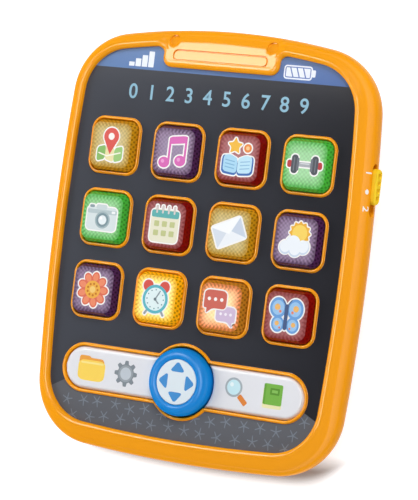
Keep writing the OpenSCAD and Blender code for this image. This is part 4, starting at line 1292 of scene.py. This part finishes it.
def text_flat(words, size, spacing=1.0, cuts=0):
    """Letters as a flat mesh in millimetres, centred and cut finer to be bent: (points, faces)."""
    curve = bpy.data.curves.new("letters", "FONT")
    curve.body = words
    curve.size = size
    curve.space_character = spacing
    curve.align_x = "CENTER"
    curve.align_y = "CENTER"
    curve.offset = 0.012 * size
    holder = bpy.data.objects.new("letters", curve)
    flat = bpy.data.meshes.new_from_object(holder)
    if cuts:
        work = bmesh.new()
        work.from_mesh(flat)
        bmesh.ops.triangulate(work, faces=work.faces)
        bmesh.ops.subdivide_edges(work, edges=work.edges, cuts=cuts, use_grid_fill=True)
        work.to_mesh(flat)
        work.free()
    points = np.zeros(3 * len(flat.vertices))
    flat.vertices.foreach_get("co", points)
    faces = [list(f.vertices) for f in flat.polygons]
    bpy.data.objects.remove(holder)
    return points.reshape(-1, 3), faces


def letters(name, part, hex_colour):
    """A piece of lettering in one ink."""
    values = {"ink": ("FLOAT_COLOR", np.tile(linear(hex_colour), (len(part[0]), 1)))}
    piece(name, [part], ink, "case", (), 30, values)


title_size = 9.0
title_at = (0, 63.2, face_z + 0.015)
title = shifted(text_flat("0 1 2 3 4 5 6 7 8 9", title_size, 1.25), title_at)
letters("title_numbers", title, "#86B4CA")

# Labels on the right shoulder: angle of their middle line, height of a radian, lift and letter size
label_turn = 0.46
label_reach = 7.3
label_lift = 0.02
label_size = 4.9


def on_shoulder(part, y):
    """Flat letters on the right shoulder: their X runs down the side, their Y outward over its ellipse."""
    turn = label_turn - part[0][:, 1] / label_reach
    along = y - part[0][:, 0]
    x = side_x(along, shoulder_w * (1 - np.cos(turn))) + label_lift
    return np.c_[x, along, shoulder_z + (shoulder_top - shoulder_z) * np.sin(turn) + label_lift], part[1]


marks = [
    ("slide_label_1", text_flat("1", label_size, 1.0, 5), 38.85),
    ("slide_label_2", text_flat("2", label_size, 1.0, 5), 24.0),
    ("slide_label_dot", raised(*patch(circle(1.05), (), 0.4), 0.0), 31.0),
]
for name, part, y in marks:
    letters(name, on_shoulder(part, y), "#F6F1E6")

# Slider knob: a bar with round ends, a soft edge and four grip pockets, on its slide plate


def at_x(yz, x):
    """A loop along Y and Z at one X."""
    return np.c_[np.full(len(yz), x), yz]


def knob_parts():
    """The knob's face as a height over (Y, Z), its side wall, and the plate behind the slot."""
    loop = rounded(knob_l, knob_h, 0.47 * knob_h, (knob_y, slot_z), 160)
    flat, faces = patch(loop, (), 0.28)
    d = nearest(flat, even(loop, 800))
    lift = knob_round * (quarter(d / knob_round) - 1)
    grips = knob_y + grip_step * (np.arange(4) - 1.5)
    pocket = eased((grip_half - np.abs(flat[:, :1] - grips)) / grip_ease).sum(1)
    pocket = pocket * eased((d - grip_margin) / grip_fade)
    plate = rounded(plate_l, plate_h, 0.8, (knob_y, slot_z), 96)
    return [
        (np.c_[knob_x + lift - grip_d * pocket, flat], faces.tolist()),
        tube([at_x(loop, x) for x in (plate_x, knob_x - knob_round)]),
        (at_x(plate, plate_x), [list(range(len(plate)))]),
        tube([at_x(plate, x) for x in (plate_x - plate_t, plate_x)]),
    ]


piece("slider_knob_grip", knob_parts(), yellow, "side_slider", ["slider_knob"], 40)

# Rear shell


def back_height(xy):
    """Height of the back: level in the middle, and the bowl's ellipse nearer the edge than its inset."""
    return bowl_h * (1 - quarter(nearest(xy, even(outline(0), 2400)) / bowl_inset))


def hole_part(loop, deep):
    """Wall of a hole in the back, from its depth out to a small round lip on the back's own height."""
    rings = [at_height(loop, deep)]
    for t in np.radians(np.linspace(0, 90, 5)):
        ring = loop + back_lip * (1 - math.cos(t)) * outward(loop)
        rings.append(at_height(ring, back_height(ring) + back_lip * (1 - math.sin(t))))
    return tube(rings)


def rear_parts():
    """Elliptic bowl, back with its holes, and the inside of the battery compartment."""
    start, end = math.asin(1 - back_in / bowl_inset), math.acos(1 - (parting_z - parting_lip) / bowl_h)
    inset, z = bowl_row(np.linspace(start, end, 20))
    inset, z = np.r_[inset, inset[-1] + parting_lip], np.r_[z, parting_z]
    parts = [tube([at_height(outline(i), h) for i, h in zip(inset, z)])]
    opening_l = door_tip - hinge_x + knuckle_r + opening_gap
    opening_at = ((hinge_x + door_tip) / 2 - opening_shift, door_y)
    opening = rounded(opening_l, door_w + opening_gap, 0.9, opening_at, 140)
    bores = [circle(head_r, c, 36) for c in case_screw_at]
    grille = [circle(grille_r, speaker_at, 20)]
    for ring in (1, 2):
        spots = speaker_at + circle(grille_step * ring, (0, 0), 6 * ring)
        grille += [circle(grille_r, c, 20) for c in spots]
    lips = [loop + back_lip * outward(loop) for loop in (opening, *bores, *grille)]
    flat, faces = patch(outline(back_in), lips, 2.4)
    parts.append(turned_over(raised(flat, faces, back_height(flat))))
    parts.append(hole_part(opening, floor_t))
    for loop in bores:
        parts += [hole_part(loop, case_bore_z), fill(loop, case_bore_z, (), down=True)]
    parts += [hole_part(loop, floor_t) for loop in grille]
    box_loop = rounded(box_l, box_w, 1.0, (0, door_y), 120)
    seat, bore = circle(seat_r, screw_at), circle(bore_r, screw_at)
    parts.append(fill(opening, floor_t, [box_loop, seat], down=True))
    wells = [(box_loop, floor_t, box_z, ()), (seat, floor_t, seat_z, [bore]), (bore, seat_z, bore_z, ())]
    for loop, low, high, holes in wells:
        parts += [carry(loop, [(0, high), (0, low)]), fill(loop, high, holes, down=True)]
    return parts


piece("rear_case_shell", rear_parts(), orange, "case", ["rear_case"])


def knuckle_part():
    """The door's round knuckle with a pin at each end, turned about Y."""
    half = door_w / 2
    end = np.array([(knuckle_r, half - 0.1), (knuckle_r - 0.1, half)])
    end = np.vstack([end, [(pin_r, half), (pin_r, half + pin_l), (0, half + pin_l)]])
    points, quads = turned(np.vstack([end[::-1] * (1, -1), end]), (0, 0), 40)
    hinge_z = door_z[0] + knuckle_r
    return np.c_[points[:, 0] + hinge_x, points[:, 2] + door_y, hinge_z - points[:, 1]], quads


def door_parts():
    """Battery door: a plate with round edges, its screw cup, its hinge knuckle and five finger ribs."""
    (z0, z1), r, lip = door_z, door_round, 0.25
    x0, x1 = hinge_x - r, door_end
    loop = rounded(x1 - x0, door_w, 0.7, ((x0 + x1) / 2, door_y), 140)
    edge = np.vstack([arc((-r, z0 + r), r, -90, 0, 4), arc((-r, z1 - r), r, 0, 90, 4)])
    inner = loop - r * outward(loop)
    head, shank, cup = (circle(size, screw_at) for size in (head_r, shank_r, cup_r))
    parts = [
        carry(loop, edge),
        fill(inner, z0, [head + lip * outward(head)], down=True),
        fill(inner, z1, [cup]),
        carry(head, np.vstack([[[0, head_z]], arc((lip, z0 + lip), lip, 180, 270, 3)])),
        fill(head, head_z, [shank], down=True),
        carry(cup, [(0, z1), (0, cup_z - cup_chamfer), (-cup_chamfer, cup_z)]),
        fill(circle(cup_r - cup_chamfer, screw_at), cup_z, [shank]),
        carry(shank, [(0, cup_z), (0, head_z)]),
        knuckle_part(),
    ]
    for k in range(5):
        rib = rounded(finger_w, finger_l, 0.34, (finger_x + finger_pitch * k, door_y), 24)
        rows = [(0, z0 + finger_h / 2), (0, z0 - finger_h / 2), (-finger_h, z0 - finger_h)]
        parts.append(turned_over(carry(rib, rows)))
        parts.append(fill(rib - finger_h * outward(rib), z0 - finger_h, (), down=True))
    return parts


piece("battery_door_plate", door_parts(), orange, "battery_door", ["battery_door"])

# Finishes of the pieces that keep their CAD shape

steel = plain_metal("nickel_plated_steel", "#C9C7C2", 0.28, 0.8)
zinc = plain_metal("zinc_plated_screw", "#B9BBBE", 0.34, 0.6)
ferrite = dull_solid("pressed_ferrite", "#5A5A5D", "#4E4E52", 0.55, 1.6, 0.5)
silicone = dull_solid("silicone_rubber", "#CFCFCB", "#C6C6C2", 0.6, 1.41, 0.6)
laminate = dull_solid("solder_mask_laminate", "#1B5A2C", "#174F27", 0.35, 1.5, 0.5)
epoxy = dull_solid("black_epoxy", "#1A1A1B", "#222224", 0.4, 1.55, 0.5)
nylon = dull_solid("black_nylon", "#1B1B1C", "#232325", 0.45, 1.53, 0.5)
lamp = dull_solid("clear_lamp_epoxy", "#F2F0DE", "#E9E6D2", 0.2, 1.55, 0.5)
paper = dull_solid("pressed_paper", "#1C1B1A", "#282624", 0.8, 1.45, 0.4)
jacket = dull_solid("pvc_jacket", "#A01812", "#8E1410", 0.42, 1.53, 0.5)


def sleeve_finish():
    """Shrink sleeve of a dry cell: a plain green body with a darker end band along X."""
    made, tree, where = start_material("printed_cell_sleeve")
    x = add(tree, "SeparateXYZ", {"Vector": where}, "X")
    band = add(tree, "MapRange", {"Value": x, "From Min": 9.8 * MM, "From Max": 10.1 * MM})
    tones = {0: band, MIX_A: linear("#2E7F66"), MIX_B: linear("#23342F")}
    scuff = add(tree, "TexNoise", {"Vector": where, "Scale": per_mm(1.5), "Detail": 3.0})
    end_material(tree, {
        "Base Color": add(tree, "Mix", tones, MIXED, data_type="RGBA"),
        "Metallic": 0.3,
        "Roughness": add(tree, "MapRange", {"Value": scuff, "To Min": 0.22, "To Max": 0.4}),
        "Normal": add(tree, "Bump", {"Height": scuff, "Distance": 0.003 * MM}),
    })
    return made


sleeve = sleeve_finish()
kept = {
    silicone: ["rubber_keypad", "nav_dome", *(f"rubber_dome_{k + 1}" for k in range(button_count))],
    laminate: ["circuit_board"], epoxy: ["controller_chip", "capacitors"], lamp: ["button_leds"],
    steel: ["slide_switch", "contact_bridge", "contact_plus", "contact_minus", "speaker_frame"],
    nylon: ["switch_lever"], zinc: ["door_screw", "case_screws", "board_screws"],
    sleeve: ["battery_1", "battery_2"], jacket: ["battery_wires", "speaker_wires"],
    paper: ["speaker_cone"], ferrite: ["speaker_magnet"],
}
for finish, names in kept.items():
    for name in names:
        nodes[name].data.materials.clear()
        nodes[name].data.materials.append(finish)

# Floor, light and camera


def floor_finish():
    """White paper that keeps the shadow; to the camera and in mirrors it also glows, less near the part.

    The glow is darkened in a narrow contact shadow along the tablet's lower edge.
    """
    made, tree, where = start_material("white_paper_floor")
    rays = add(tree, "LightPath").node.outputs
    seen = rays["Is Camera Ray"]
    for kind in ("Is Glossy Ray", "Is Transmission Ray"):
        seen = add(tree, "Math", {0: seen, 1: rays[kind]}, operation="MAXIMUM")
    away = add(tree, "VectorMath", {0: where}, "Value", operation="LENGTH")
    ramp = {"Value": away, "From Min": 0.5, "From Max": 3.0, "To Min": 0.78, "To Max": 1.0}
    level = add(tree, "Math", {0: seen, 1: add(tree, "MapRange", ramp)}, operation="MULTIPLY")
    nearness = add(tree, "AmbientOcclusion", {"Distance": 10 * MM}, "AO", samples=16)
    shade = add(tree, "MapRange", {"Value": nearness, "From Min": 0.7, "From Max": 0.98})
    y = add(tree, "SeparateXYZ", {"Vector": where}, "Y")
    lower = {"Value": y, "From Min": -80 * MM, "From Max": -88 * MM, "To Min": 1.0, "To Max": 0.0}
    shade = add(tree, "Math", {0: shade, 1: add(tree, "MapRange", lower)}, operation="MAXIMUM")
    level = add(tree, "Math", {0: level, 1: shade}, operation="MULTIPLY")
    glow = add(tree, "Emission", {"Color": (1.0, 1.0, 1.0, 1.0), "Strength": level})
    matt = add(tree, "BsdfDiffuse", {"Color": linear("#BCBCBE")})
    add(tree, "OutputMaterial", {"Surface": add(tree, "AddShader", {0: matt, 1: glow})})
    return made


# The floor: where its rim starts to turn up, the turn's radius, where the rim ends, and its gap under the part
floor_r = 3500
floor_rim_r = 500
floor_rim_end = (4000.0, 900.0)
floor_gap = 0.3
world_tone = "#F0F2F6"
world_level = 0.27
# Name, place, width, height, power, whether it shows in mirrors, whether it lights matt surfaces
lamps = [
    ("softbox", (-0.478, 0.329, 0.814), 0.34, 0.38, 3.7, True, False),
    ("left_box", (-0.80, 0.05, 0.60), 0.18, 0.60, 2.0, True, True),
    ("overhead", (0.10, 0.02, 0.98), 0.34, 0.66, 5.3, True, False),
    ("key", (0.35, 0.72, 0.78), 0.5, 0.5, 7.6, False, True),
    ("right_fill", (1.35, -0.1, 0.22), 0.4, 1.2, 6.3, False, True),
    ("left_fill", (-1.2, 0.0, 0.5), 0.6, 1.0, 6.5, False, True),
    ("front_fill", (0.05, -1.3, 0.32), 1.0, 0.6, 8.5, False, True),
]


def studio():
    """A white floor turned up at its rim, a dim surround, three softboxes and four broad lamps."""
    scene = bpy.context.scene
    scene.view_settings.view_transform = "Standard"
    rim = arc((floor_r, floor_rim_r - floor_gap), floor_rim_r, 0, -90, 8)
    profile = np.vstack([[floor_rim_end], rim, [[0.0, -floor_gap]]])
    points, faces = turned_over(turned(profile[::-1], (0, 0), 64))
    mesh = bpy.data.meshes.new("floor")
    mesh.from_pydata((points * MM).tolist(), [], faces)
    mesh.shade_smooth()
    mesh.materials.append(floor_finish())
    floor = bpy.data.objects.new("floor", mesh)
    scene.collection.objects.link(floor)
    scene.world = bpy.data.worlds.new("studio")
    scene.world.use_nodes = True
    surround = scene.world.node_tree.nodes["Background"].inputs
    surround["Color"].default_value = linear(world_tone)
    surround["Strength"].default_value = world_level
    for name, place, width, height, power, mirrored, spread in lamps:
        data = bpy.data.lights.new(name, "AREA")
        data.shape = "RECTANGLE"
        data.size = width
        data.size_y = height
        data.energy = power
        back = Vector(place).normalized()
        across = Vector((0, 1, 0)).cross(back).normalized()
        turn = Matrix((across, back.cross(across), back)).transposed().to_4x4()
        lamp_object = bpy.data.objects.new(name, data)
        lamp_object.matrix_world = Matrix.Translation(place) @ turn
        lamp_object.visible_glossy = mirrored
        lamp_object.visible_diffuse = spread
        scene.collection.objects.link(lamp_object)


# The photograph's view of the face, with the tablet's top edge up and leaning to the right
view_azimuth = 90.3
view_elevation = 60.98
view_roll = -83.2
view_distance = 1.0689
view_target = (-0.00046, -0.00068, 0.012)
view_lens = 180.0


def photo_camera():
    """Camera at an azimuth and elevation around the target, rolled about its own axis."""
    a, e, r = (math.radians(v) for v in (view_azimuth, view_elevation, view_roll))
    back = Vector((math.sin(a) * math.cos(e), -math.cos(a) * math.cos(e), math.sin(e)))
    level = Vector((0, 0, 1)).cross(back).normalized()
    rise = back.cross(level)
    right = level * math.cos(r) + rise * math.sin(r)
    up = rise * math.cos(r) - level * math.sin(r)
    data = bpy.data.cameras.new("photo_view")
    data.lens = view_lens
    data.sensor_width = 36.0
    camera_object = bpy.data.objects.new("photo_view", data)
    turn = Matrix((right, up, back)).transposed().to_4x4()
    camera_object.matrix_world = Matrix.Translation(Vector(view_target) + back * view_distance) @ turn
    bpy.context.scene.collection.objects.link(camera_object)
    bpy.context.scene.camera = camera_object


studio()
photo_camera()
